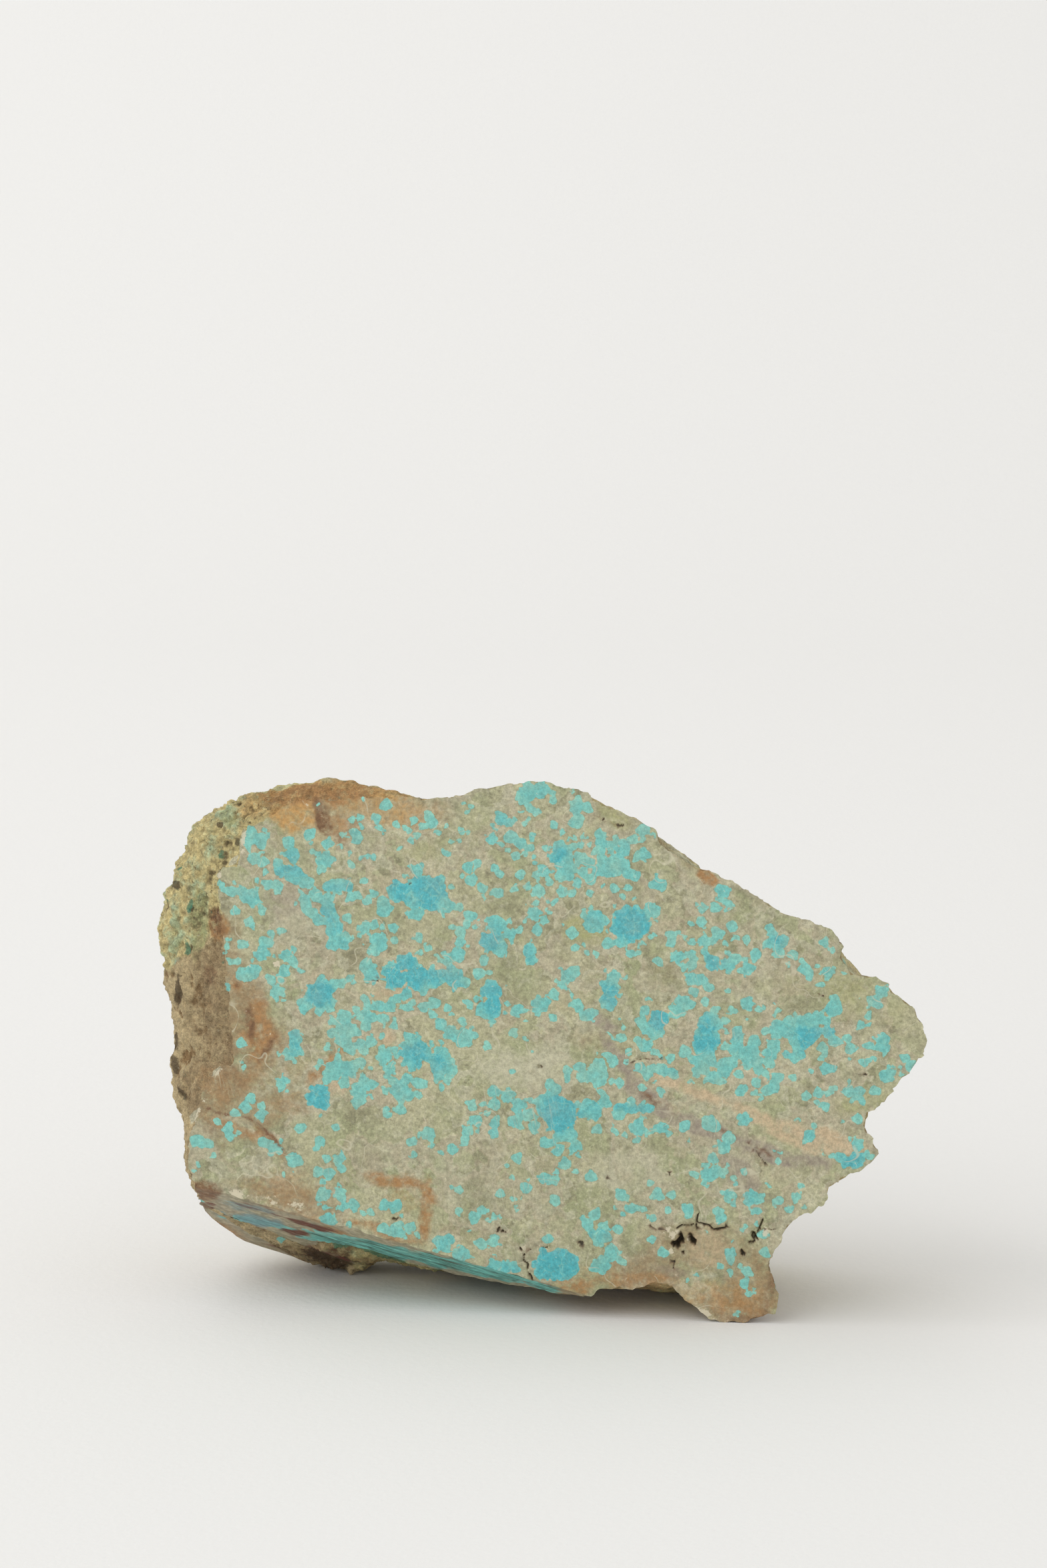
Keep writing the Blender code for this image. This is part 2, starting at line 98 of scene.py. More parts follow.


# Markings, in pixels of the studio view.
# Nodules: x, y, radius, or x, y, half width, half height.
NODULES = {"upper_left": [
    (378, 1245, 10), (390, 1260, 13), (372, 1262, 9), (380, 1285, 9), (395, 1292, 8), (432, 1262, 9),
    (437, 1282, 14), (415, 1293, 8), (465, 1250, 9), (490, 1263, 9), (488, 1287, 13), (483, 1303, 7),
    (440, 1312, 14), (415, 1330, 10), (400, 1325, 8), (490, 1350, 13), (497, 1380, 14), (505, 1410, 15),
    (505, 1325, 12), (560, 1340, 7), (575, 1360, 15), (600, 1335, 18), (625, 1305, 14), (640, 1325, 15),
    (650, 1345, 20), (620, 1370, 13), (345, 1335, 8), (330, 1325, 6), (375, 1345, 14), (360, 1335, 10),
    (352, 1365, 8), (393, 1365, 7), (372, 1380, 6), (398, 1410, 11), (392, 1430, 14), (420, 1395, 7),
    (362, 1415, 10), (343, 1407, 5), (340, 1418, 5), (430, 1430, 10), (440, 1440, 8), (425, 1455, 12),
    (450, 1455, 6), (378, 1455, 13), (345, 1440, 5), (355, 1440, 6), (360, 1460, 8), (405, 1467, 8),
    (340, 1479, 5, 9), (415, 1485, 12), (480, 1490, 22), (455, 1505, 12), (480, 1510, 12), (500, 1500, 6),
    (550, 1450, 12), (555, 1460, 14), (590, 1465, 18), (610, 1440, 15), (620, 1465, 18), (545, 1390, 10),
    (560, 1385, 8), (590, 1390, 9), (570, 1410, 14), (560, 1425, 9), (477, 1207, 4), (545, 1200, 4),
    (578, 1205, 9), (528, 1228, 5), (540, 1225, 5), (562, 1227, 7), (595, 1237, 6), (535, 1255, 9),
], "top": [
    (750, 1225, 9), (762, 1235, 7), (735, 1257, 10), (765, 1255, 9), (778, 1262, 9), (790, 1190, 14),
    (810, 1182, 15), (828, 1198, 7), (865, 1210, 12), (865, 1232, 12), (965, 1243, 11), (838, 1280, 14),
    (848, 1308, 12), (815, 1305, 9), (805, 1333, 11), (840, 1335, 10), (855, 1338, 7), (832, 1352, 6),
    (870, 1285, 9), (905, 1265, 12), (935, 1268, 13), (905, 1305, 14), (940, 1310, 13), (965, 1280, 9),
    (885, 1318, 9), (985, 1325, 13), (800, 1370, 11), (815, 1378, 7), (805, 1392, 8), (745, 1385, 14),
    (735, 1410, 17), (765, 1400, 12), (750, 1425, 12), (725, 1440, 8), (890, 1380, 18), (857, 1397, 8),
    (945, 1385, 28), (975, 1365, 14), (930, 1410, 12), (910, 1413, 9), (893, 1430, 6), (862, 1420, 6),
    (794, 1430, 11, 17), (690, 1410, 10), (700, 1385, 7), (685, 1432, 11), (670, 1440, 10), (655, 1435, 6),
    (625, 1405, 7), (640, 1418, 8), (655, 1465, 38, 17), (630, 1480, 12), (680, 1460, 12), (718, 1458, 9),
    (735, 1495, 17, 28), (725, 1515, 14), (776, 1513, 11), (810, 1505, 13), (830, 1490, 9), (855, 1460, 13),
    (845, 1475, 8), (865, 1505, 9), (880, 1520, 11), (915, 1480, 16), (910, 1500, 14), (920, 1465, 12),
    (645, 1505, 8), (670, 1510, 6), (610, 1510, 7), (660, 1535, 9), (965, 1515, 8), (985, 1530, 16),
], "right": [
    (1085, 1335, 12), (1090, 1355, 10), (1070, 1360, 8), (1052, 1360, 8), (1050, 1380, 8), (1035, 1383, 6),
    (1055, 1410, 12), (1075, 1400, 9), (1095, 1388, 8), (1118, 1408, 7), (1035, 1412, 6), (1132, 1428, 9),
    (1067, 1440, 14), (1090, 1445, 13), (1120, 1453, 10), (1015, 1435, 11), (1035, 1430, 8), (1155, 1392, 10),
    (1165, 1410, 14), (1168, 1428, 8), (1188, 1430, 7), (1235, 1413, 11), (1240, 1457, 12), (1210, 1455, 9),
    (1228, 1475, 6), (1200, 1440, 6), (1035, 1465, 13), (1060, 1480, 8), (1015, 1510, 11), (1035, 1505, 7),
    (1055, 1500, 7), (1120, 1505, 11), (1093, 1513, 6), (1247, 1510, 14), (1320, 1485, 11), (1305, 1498, 8),
    (1060, 1535, 18), (1055, 1565, 20), (1060, 1585, 14), (1045, 1590, 12), (1105, 1565, 12),
    (1123, 1575, 16), (1155, 1577, 13), (1165, 1540, 15), (1185, 1550, 14), (1215, 1530, 12),
    (1210, 1557, 16), (1240, 1545, 13), (1145, 1545, 7), (1290, 1537, 7), (1275, 1570, 9), (1268, 1555, 7),
    (1320, 1563, 14), (1300, 1567, 8), (1243, 1600, 6), (1294, 1592, 8), (1330, 1610, 12), (1365, 1597, 9),
    (1355, 1585, 7), (1085, 1600, 14), (1165, 1615, 9), (1110, 1632, 9), (1192, 1583, 9), (1075, 1615, 6),
], "lower_left": [
    (443, 1562, 10, 20), (432, 1580, 10), (362, 1562, 7), (363, 1590, 4), (366, 1600, 5), (427, 1617, 10),
    (420, 1627, 7), (375, 1645, 10), (368, 1658, 9), (352, 1668, 7), (393, 1655, 7), (390, 1670, 11),
    (325, 1680, 5), (340, 1690, 11), (345, 1705, 7), (358, 1697, 5), (290, 1710, 9), (300, 1710, 9),
    (313, 1713, 7), (297, 1743, 6), (320, 1730, 5), (395, 1710, 8), (408, 1720, 11), (420, 1725, 6),
    (478, 1645, 20), (500, 1600, 13), (520, 1605, 13), (540, 1590, 8), (540, 1630, 12), (515, 1555, 13),
    (540, 1565, 9), (555, 1560, 8), (575, 1580, 12), (620, 1575, 20), (662, 1592, 18), (600, 1632, 16),
    (478, 1710, 9), (475, 1720, 7), (490, 1735, 7), (510, 1735, 11), (512, 1750, 8), (475, 1755, 9),
    (492, 1758, 9), (440, 1740, 11), (425, 1760, 4), (450, 1690, 8), (502, 1690, 7), (578, 1668, 7),
    (595, 1660, 5), (485, 1790, 12), (510, 1790, 10), (515, 1805, 10), (530, 1805, 9), (490, 1830, 14),
    (522, 1835, 7), (543, 1818, 5), (555, 1817, 6), (575, 1805, 9), (592, 1808, 11), (575, 1840, 9),
    (595, 1843, 13), (615, 1840, 9),
], "low_middle": [
    (740, 1635, 9), (760, 1640, 8), (775, 1655, 13), (770, 1680, 12), (790, 1670, 12), (740, 1655, 9),
    (838, 1668, 28), (885, 1662, 18), (835, 1705, 7), (895, 1690, 8), (925, 1670, 8), (920, 1695, 6),
    (945, 1650, 7), (955, 1688, 14), (990, 1690, 12), (640, 1700, 13), (618, 1710, 7), (620, 1730, 6),
    (697, 1695, 10), (695, 1712, 8), (678, 1722, 8), (710, 1680, 8), (707, 1655, 8), (860, 1720, 11),
    (845, 1740, 10), (815, 1765, 12), (830, 1768, 7), (788, 1780, 9), (750, 1788, 7), (768, 1797, 6),
    (768, 1765, 5), (885, 1762, 9), (830, 1798, 8), (688, 1783, 7), (688, 1815, 7), (710, 1825, 9),
    (720, 1812, 7), (740, 1822, 6), (720, 1862, 9), (740, 1860, 10), (665, 1862, 16), (690, 1880, 14),
    (755, 1897, 26, 12), (832, 1895, 33, 24), (820, 1855, 8), (890, 1820, 10), (880, 1835, 9), (905, 1835, 7),
    (925, 1840, 7), (895, 1860, 7), (945, 1810, 10), (965, 1812, 6), (915, 1875, 13), (900, 1895, 14),
    (985, 1790, 10), (980, 1825, 6), (978, 1858, 6), (992, 1877, 8),
], "lower_right": [
    (1025, 1687, 9), (1065, 1683, 13), (1115, 1677, 12), (1090, 1705, 10), (1085, 1718, 12), (1068, 1735, 9),
    (1072, 1755, 10), (1085, 1755, 7), (1040, 1760, 7), (1100, 1765, 6), (1140, 1645, 6), (1207, 1642, 8),
    (1225, 1637, 8), (1237, 1657, 7), (1248, 1632, 6), (1270, 1635, 10), (1285, 1640, 12), (1310, 1635, 8),
    (1285, 1675, 8), (1262, 1681, 4), (1192, 1680, 5), (1212, 1700, 10), (1168, 1727, 5), (1165, 1740, 6),
    (1258, 1735, 11), (1285, 1735, 13), (1285, 1715, 9), (1305, 1732, 6), (1232, 1727, 4), (1200, 1777, 6),
    (1190, 1795, 5, 8), (1163, 1800, 8), (1133, 1795, 10), (1133, 1815, 8), (1205, 1808, 5), (1095, 1790, 6),
    (1010, 1790, 6), (1030, 1813, 11), (1000, 1812, 6), (1075, 1815, 8), (1082, 1827, 8), (1058, 1847, 4),
    (1113, 1840, 6), (1143, 1850, 8), (1145, 1875, 8), (1095, 1880, 12), (1118, 1905, 9), (1115, 1922, 8),
    (1093, 1905, 6), (1103, 1968, 7), (1030, 1917, 4),
], "more_left": [
    (484, 1470, 12), (500, 1475, 9), (512, 1472, 7), (525, 1468, 8), (545, 1495, 6), (550, 1505, 8),
    (567, 1508, 9), (583, 1508, 9), (595, 1495, 7), (603, 1507, 5), (613, 1510, 7), (618, 1503, 5),
    (608, 1490, 9), (635, 1508, 9), (650, 1503, 9), (648, 1520, 6), (697, 1472, 8), (697, 1500, 5),
    (703, 1507, 6), (515, 1520, 9), (535, 1518, 10), (515, 1535, 14), (555, 1525, 9), (548, 1535, 11),
    (572, 1527, 8), (590, 1527, 4), (590, 1537, 7), (498, 1530, 7), (498, 1548, 8), (515, 1548, 12),
    (530, 1545, 10), (513, 1563, 7), (525, 1570, 9), (545, 1572, 8), (492, 1568, 5), (487, 1573, 4),
    (590, 1572, 7), (575, 1590, 10), (583, 1605, 10), (590, 1620, 8), (577, 1632, 7), (612, 1555, 9),
    (625, 1565, 13), (618, 1592, 14), (640, 1575, 7), (645, 1585, 8), (660, 1575, 10), (670, 1590, 12),
    (655, 1605, 13), (672, 1600, 10), (675, 1612, 5), (610, 1615, 10), (625, 1622, 9), (635, 1625, 7),
    (595, 1640, 10), (612, 1642, 9), (625, 1640, 7), (505, 1590, 7), (515, 1600, 10), (530, 1600, 9),
    (498, 1612, 8), (515, 1622, 9), (488, 1620, 7), (545, 1620, 10), (540, 1642, 12), (560, 1625, 7),
    (535, 1652, 9), (690, 1530, 7), (675, 1548, 13), (695, 1547, 9), (690, 1560, 8), (703, 1560, 7),
    (712, 1550, 6), (600, 1663, 7), (580, 1667, 8),
], "more_top": [
    (776, 1195, 5), (782, 1203, 4), (795, 1212, 7), (803, 1220, 5), (787, 1233, 5), (829, 1235, 7),
    (866, 1202, 8), (880, 1210, 8), (857, 1232, 7), (797, 1254, 6), (792, 1270, 7), (861, 1255, 5),
    (875, 1253, 5), (898, 1250, 8), (883, 1265, 4), (893, 1275, 7), (923, 1255, 5), (918, 1266, 6),
    (948, 1257, 8), (930, 1275, 11), (838, 1265, 9), (848, 1275, 10), (860, 1270, 6), (817, 1270, 6),
    (828, 1288, 11), (850, 1288, 8), (771, 1282, 7), (785, 1280, 5), (852, 1298, 9), (840, 1315, 8),
    (780, 1310, 7), (800, 1312, 6), (748, 1308, 7), (882, 1292, 8), (873, 1308, 8), (902, 1288, 9),
    (893, 1303, 8), (920, 1290, 9), (935, 1295, 9), (922, 1305, 8), (952, 1310, 8), (790, 1325, 6),
    (822, 1320, 7), (865, 1325, 7), (885, 1338, 5), (920, 1330, 7), (942, 1331, 6), (745, 1337, 9),
    (771, 1332, 6), (820, 1350, 4), (802, 1353, 5), (953, 1285, 6), (905, 1377, 7), (955, 1365, 7),
    (770, 1548, 7), (729, 1567, 6), (797, 1575, 3), (787, 1555, 4), (828, 1526, 6), (703, 1550, 10),
    (855, 1505, 6), (890, 1517, 7), (767, 1605, 6), (823, 1622, 9), (832, 1632, 8), (850, 1603, 7),
    (850, 1615, 7), (868, 1600, 9), (870, 1613, 8), (885, 1610, 10), (897, 1592, 9), (903, 1605, 8),
    (895, 1622, 9), (890, 1600, 8), (918, 1590, 9), (910, 1580, 5), (928, 1622, 8), (915, 1620, 5),
    (912, 1550, 6), (930, 1555, 7), (933, 1538, 4), (942, 1577, 5), (955, 1560, 7), (968, 1568, 10),
    (980, 1576, 7), (958, 1600, 8), (975, 1600, 7), (990, 1600, 8), (963, 1628, 6), (990, 1635, 8),
], "seen_close": [
    (457, 1347, 10), (472, 1340, 9), (461, 1357, 9), (475, 1378, 9), (466, 1368, 7), (520, 1375, 8),
    (505, 1328, 22, 9), (525, 1345, 8), (535, 1342, 7), (550, 1350, 8), (515, 1405, 9), (534, 1255, 8, 12),
    (527, 1243, 5), (551, 1284, 12, 5), (524, 1280, 5), (526, 1295, 6), (514, 1252, 5), (599, 1271, 4),
    (615, 1260, 6), (625, 1251, 5), (595, 1237, 6), (567, 1240, 5), (562, 1227, 8), (540, 1224, 5),
    (526, 1227, 5), (619, 1230, 6), (633, 1237, 7), (646, 1231, 8), (655, 1247, 6), (669, 1238, 5),
    (690, 1244, 5), (702, 1247, 5), (687, 1259, 5), (668, 1277, 7, 4), (676, 1262, 4), (640, 1219, 5),
    (613, 1245, 5), (640, 1226, 5), (706, 1208, 5), (700, 1216, 4), (432, 1305, 22, 9), (456, 1322, 12),
    (490, 1362, 15, 12), (500, 1392, 14, 16), (505, 1415, 17, 8), (642, 1330, 26, 16), (668, 1356, 14),
    (620, 1350, 16), (700, 1300, 8), (715, 1292, 7), (706, 1318, 9), (722, 1330, 8), (740, 1300, 7),
    (690, 1360, 7), (705, 1372, 8), (545, 1320, 6), (690, 1395, 8), (676, 1388, 6), (1000, 1605, 14, 8),
    (950, 1660, 30, 8), (905, 1650, 12), (970, 1610, 8), (820, 1650, 16), (800, 1690, 10),
    (850, 1700, 14, 10), (760, 1640, 12), (740, 1690, 8, 14), (1105, 1550, 8, 16), (1210, 1545, 20, 10),
    (1190, 1580, 16, 6), (1240, 1600, 12, 8), (930, 1790, 10), (1060, 1760, 14, 10), (1090, 1790, 10),
    (1125, 1795, 10, 14), (900, 1850, 20, 10), (820, 1712, 12, 8), (838, 1722, 10), (775, 1735, 8),
    (1195, 1790, 6), (1182, 1812, 7), (1165, 1800, 7), (1150, 1775, 5), (1275, 1742, 16, 9), (945, 1430, 8),
    (960, 1415, 6), (985, 1440, 7), (975, 1405, 5), (1315, 1500, 7, 12), (1300, 1520, 6),
], "more_right": [
    (1005, 1585, 7), (1010, 1612, 6), (1003, 1400, 8), (1015, 1397, 5), (1005, 1410, 8), (1055, 1425, 7),
    (1072, 1394, 7), (1103, 1403, 5), (1087, 1413, 5), (1150, 1415, 7), (1174, 1408, 8), (1022, 1450, 6),
    (1035, 1446, 8), (1050, 1468, 9), (1040, 1486, 7), (1102, 1437, 8), (1205, 1450, 9), (1213, 1462, 7),
    (1090, 1482, 4), (1135, 1513, 5), (1165, 1513, 5), (1025, 1503, 13), (1012, 1518, 8), (1070, 1515, 7),
    (1072, 1532, 12), (1085, 1530, 6), (1048, 1550, 12), (1070, 1550, 12), (1045, 1605, 10), (1067, 1615, 9),
    (1035, 1620, 6), (1057, 1605, 7), (1025, 1575, 9), (1086, 1567, 6), (1096, 1573, 8), (1130, 1560, 9),
    (1126, 1590, 12), (1114, 1586, 10), (1095, 1593, 9), (1135, 1602, 8), (1107, 1610, 7), (1153, 1590, 10),
    (1160, 1565, 7), (1165, 1550, 8), (1182, 1530, 9), (1200, 1530, 10), (1193, 1566, 9), (1226, 1525, 9),
    (1232, 1570, 8), (1237, 1530, 8), (1250, 1558, 9), (1250, 1496, 8), (1158, 1628, 9), (1148, 1632, 8),
    (1145, 1608, 6), (1188, 1615, 6), (1132, 1622, 7), (1130, 1637, 6), (970, 1542, 12), (958, 1530, 8),
    (985, 1548, 10), (810, 1650, 10), (930, 1662, 6), (716, 1678, 7),
]}

# Where the turquoise is deepest in colour: x, y, radius.
DEEP_CORES = [
    (945, 1385, 26), (838, 1668, 32), (1210, 1557, 18), (1240, 1545, 13), (1067, 1440, 16), (645, 1335, 26),
    (600, 1335, 18), (490, 1365, 16), (480, 1490, 18), (735, 1405, 22), (735, 1497, 20), (912, 1490, 18),
    (1058, 1555, 22), (605, 1462, 34), (478, 1645, 18), (640, 1582, 26), (838, 1285, 20), (985, 1528, 16),
    (750, 1228, 12), (832, 1895, 30), (1212, 1700, 10), (1275, 1735, 22), (437, 1284, 14), (1165, 1410, 13),
]

# Stains: x, y, half width, half height, strength, and turn in degrees (clockwise).
STAINS = {Stain.CRUST: [
    # White crust round the pits; the thin spots along the face's left edge, the foot's lower left rim and the
    # lit rind edges are painted highlights.
    (998, 1841, 7, 7, 0.85), (1006, 1850, 7, 8, 0.85, 40), (1014, 1846, 5, 4, 0.7), (1031, 1855, 5, 6, 0.8),
    (1147, 1848, 5, 10, 0.9), (1006, 1873, 4, 4, 1.0), (363, 1260, 4, 22, 1.0, 12),
    (350, 1289, 4, 12, 1.0, 50), (328, 1310, 7, 4, 1.1, -20), (1052, 1968, 14, 5, 1.1, 30),
    (1080, 1977, 18, 3, 0.8, 8), (785, 1868, 5, 4, 0.8), (325, 1606, 4, 12, 1.0, 40),
    (306, 1640, 3, 18, 1.0, 20), (294, 1670, 3, 16, 1.0, 25), (354, 1790, 16, 7, 1.0, 15),
    (442, 1806, 16, 6, 0.9, 15), (400, 1798, 20, 5, 0.7, 15), (416, 1448, 4, 4, 1.3),
], Stain.EARTH: [
    (330, 1455, 44, 40, 0.9), (345, 1520, 60, 90, 0.85), (395, 1560, 44, 50, 0.8),
    (320, 1630, 70, 50, 0.9, -30), (420, 1650, 70, 30, 0.4, 10), (370, 1660, 70, 26, 0.7, 20),
    (330, 1700, 40, 40, 0.4), (430, 1790, 100, 28, 0.6, 12), (345, 1400, 26, 40, 0.5),
    (480, 1765, 60, 24, 0.4), (1050, 1870, 110, 40, 0.55), (960, 1900, 90, 30, 0.6),
    (1135, 1930, 50, 60, 0.8), (500, 1200, 130, 30, 0.5, 5), (620, 1215, 80, 30, 0.45, 10),
    (700, 1850, 80, 16, 0.3, 12), (1040, 1300, 60, 12, 0.4, 38), (400, 1240, 30, 30, 0.3),
    (1000, 1450, 60, 24, 0.3), (1190, 1440, 60, 24, 0.3, 20), (850, 1500, 60, 20, 0.3),
    (900, 1560, 60, 20, 0.35),
], Stain.SAW: [
    (765, 1735, 80, 180, 1.0, -9), (375, 1310, 40, 30, 0.7), (335, 1630, 30, 40, 1.0),
    (1180, 1400, 60, 60, 0.4), (560, 1560, 60, 80, 0.3),
], Stain.RUST: [
    (480, 1192, 90, 20, 0.7, -4), (500, 1238, 44, 26, 0.6, 20), (1060, 1316, 20, 10, 1.2, 40),
    (327, 1385, 14, 28, 1.0, -15), (388, 1545, 24, 60, 0.75), (355, 1474, 14, 12, 0.9),
    (490, 1595, 9, 46, 0.8, 45), (380, 1610, 40, 30, 0.4), (440, 1606, 50, 20, 0.3, -30),
    (350, 1690, 60, 10, 0.7, 22), (405, 1712, 40, 9, 0.7, 48), (425, 1650, 40, 26, 0.35),
    (590, 1768, 52, 13, 0.8, 6), (638, 1814, 13, 56, 0.9, 5), (330, 1630, 40, 40, 0.4),
    (565, 1838, 60, 8, 0.7, 12), (345, 1846, 44, 10, 0.7, 30), (395, 1868, 50, 9, 0.6, 16),
    (560, 1893, 70, 8, 0.5, 12), (862, 1926, 34, 13, 0.8, 8), (1095, 1960, 80, 34, 0.5),
    (950, 1920, 80, 16, 0.55), (500, 1845, 30, 10, 0.7, 16), (590, 1850, 60, 10, 0.6, 16),
    (300, 1785, 30, 20, 0.6), (420, 1780, 80, 30, 0.35, 10), (440, 1812, 80, 14, 0.4, 12),
    (1000, 1655, 34, 10, 0.3, 25),
], Stain.GOLD: [
    (560, 1180, 70, 14, 1.2, 8), (450, 1186, 70, 14, 0.9, -8), (436, 1220, 40, 26, 0.95),
    (460, 1245, 60, 22, 0.35, 20), (390, 1208, 50, 18, 0.5, -20), (600, 1796, 34, 30, 0.35),
    (575, 1215, 90, 30, 0.5, 12), (1070, 1940, 90, 34, 0.4), (890, 1905, 60, 16, 0.3),
], Stain.UMBER: [
    # Brown spots and the cores of the mauve veins; the thin ones low along the underside, those on the knob
    # and those on the foot's right side are painted shade.
    (482, 1226, 14, 30, 1.0, -12), (505, 1255, 8, 20, 0.5, -40), (322, 1372, 10, 16, 0.9, -20),
    (325, 1385, 12, 26, 0.5, -20), (400, 1700, 34, 8, 0.5, 50), (310, 1782, 22, 16, 1.0),
    (374, 1530, 8, 34, 0.8, -8), (350, 1600, 40, 50, 0.3), (330, 1690, 50, 24, 0.3, 20),
    (356, 1474, 8, 7, 0.8, -20), (400, 1572, 6, 26, 0.8, 30), (314, 1460, 16, 18, 0.5),
    (520, 1268, 14, 5, 0.4, 20), (1110, 1975, 34, 8, 0.5), (1148, 1950, 6, 22, 0.5),
    (975, 1648, 26, 7, 0.7, 42), (1010, 1668, 22, 5, 0.5, 20), (1075, 1690, 40, 4, 0.6, 25),
    (1140, 1722, 30, 4, 0.6, 30), (930, 1560, 6, 34, 0.4, -30), (470, 1886, 36, 26, 0.8),
    (300, 1812, 14, 16, 0.7), (350, 1858, 50, 6, 0.8, 30), (450, 1880, 50, 8, 0.6, 14),
    (600, 1903, 60, 7, 0.8, 12), (700, 1925, 60, 6, 0.8, 12), (780, 1940, 40, 5, 0.7, 12),
    (505, 1880, 20, 18, 0.9), (1085, 1338, 14, 4, 0.4, 30), (905, 1230, 30, 4, 0.4, 20),
    (1156, 1925, 8, 30, 0.5), (1130, 1972, 30, 6, 0.5, -10),
], Stain.PEACH: [
    (585, 1490, 38, 12, 0.6), (581, 1553, 18, 14, 0.7), (507, 1627, 24, 14, 0.7, -30),
    (992, 1615, 42, 12, 0.8, 14), (1225, 1708, 80, 22, 1.1, 14), (1050, 1640, 60, 10, 0.8, 22),
    (1130, 1672, 50, 12, 0.9, 24), (1060, 1870, 40, 40, 0.45), (470, 1460, 30, 14, 0.3),
    (420, 1760, 60, 24, 0.35),
], Stain.MAUVE: [
    (900, 1530, 40, 12, 0.8, 30), (935, 1600, 60, 12, 0.9, 58), (975, 1650, 50, 14, 1.1, 36),
    (1060, 1690, 60, 13, 1.1, 22), (1150, 1728, 60, 13, 1.1, 22), (1110, 1760, 50, 20, 0.6, 40),
    (1220, 1740, 40, 10, 0.6, 14), (880, 1540, 26, 14, 0.35, 30), (440, 1345, 60, 34, 0.45),
    (470, 1285, 40, 20, 0.35), (1000, 1905, 40, 14, 0.4),
], Stain.MOSS: [
    (875, 1395, 34, 28, 0.8), (1000, 1480, 60, 30, 0.25), (1260, 1480, 60, 40, 0.5, 30),
    (1290, 1650, 60, 20, 0.5, -10), (640, 1275, 40, 26, 0.4), (860, 1600, 40, 20, 0.35),
    (1200, 1480, 60, 20, 0.35, 20), (700, 1560, 60, 20, 0.3), (1340, 1520, 30, 40, 0.4),
    (915, 1220, 40, 16, 0.6, 28), (350, 1770, 40, 14, 0.3), (298, 1385, 14, 62, 1.0),
    (398, 1197, 18, 11, 1.0), (345, 1225, 20, 14, 0.7), (262, 1400, 10, 44, 0.5),
], Stain.PALE: [
    (790, 1600, 90, 40, 0.7), (940, 1755, 70, 42, 0.5), (440, 1370, 60, 40, 0.4),
    (680, 1760, 30, 60, 0.3, 10), (1100, 1490, 80, 16, 0.3, 8), (600, 1700, 60, 40, 0.3),
    (1200, 1775, 40, 16, 0.3),
], Stain.TEAL: [
    (500, 1858, 50, 8, 1.0, 13), (580, 1874, 60, 11, 1.0, 12), (660, 1890, 60, 12, 1.0, 12),
    (740, 1908, 60, 10, 1.0, 12), (810, 1926, 40, 7, 0.8, 12), (470, 1850, 20, 5, 0.8, 16),
    (283, 1360, 4, 15, 1.0, 4), (281, 1424, 4, 15, 1.0, -10), (270, 1300, 5, 5, 0.8), (330, 1278, 5, 9, 0.8),
], Stain.SLATE: [
    (388, 1828, 44, 8, 1.0, 11), (372, 1810, 50, 9, 0.6, 16), (330, 1822, 14, 7, 0.6, 10),
], Stain.STREAK: [
    # Streaks on the lower cut; the spots on the rind along the left edge and on the knob underneath are
    # painted shade.
    (470, 1836, 56, 6, 1.0, 14), (385, 1810, 66, 8, 0.75, 17), (440, 1846, 30, 6, 0.9, 12),
    (315, 1806, 10, 8, 0.9, 30), (345, 1848, 40, 5, 0.5, 30), (410, 1868, 40, 5, 0.9, 14),
    (560, 1896, 60, 5, 0.5, 12), (330, 1237, 6, 5, 1.2), (335, 1290, 5, 5, 1.0), (264, 1325, 10, 7, 1.2),
    (355, 1262, 5, 8, 0.8), (286, 1362, 3, 6, 1.2), (286, 1420, 3, 8, 1.1), (320, 1205, 14, 4, 0.8, -20),
    (232, 1440, 6, 10, 0.9), (270, 1485, 6, 26, 1.1), (268, 1562, 7, 14, 0.9), (264, 1595, 6, 22, 0.8),
    (275, 1637, 7, 16, 0.9), (475, 1886, 34, 18, 1.1), (512, 1890, 20, 12, 1.0),
]}

# Cracks and seams: half width and depth in millimetres, and the points of the route.
FACE_LINES = {"crack": [
    (0.13, 0.9, (779, 1870), (785, 1880), (784, 1888), (791, 1894), (790, 1903), (797, 1917)),
    (0.07, 0.4, (789, 1877), (795, 1871), (806, 1867), (818, 1869), (823, 1866)),
    (0.11, 0.8, (1045, 1820), (1043, 1830), (1050, 1833), (1062, 1836), (1068, 1842), (1088, 1839)),
    (0.1, 0.8, (1014, 1840), (1022, 1835), (1034, 1836), (1041, 1832), (1044, 1842)),
    (0.12, 0.8, (1142, 1828), (1138, 1838), (1134, 1846)),
    (0.06, 0.3, (1137, 1842), (1146, 1840), (1154, 1843), (1162, 1841)),
    (0.06, 0.3, (1022, 1880), (1010, 1888), (1008, 1900)),
    (0.05, 0.2, (975, 1836), (985, 1842), (998, 1843), (1004, 1850)),
    (0.06, 0.2, (1118, 1712), (1128, 1719), (1136, 1731), (1146, 1742)),
    (0.04, 0.15, (938, 1593), (958, 1586), (984, 1588), (1000, 1577)),
    (0.05, 0.2, (604, 1336), (612, 1326), (618, 1322)),
    (0.04, 0.15, (548, 1465), (556, 1470), (566, 1468), (572, 1452)),
], "seam": [
    (0.18, 0.0, (307, 1657), (325, 1667), (372, 1675), (387, 1685), (415, 1710), (425, 1727)),
]}

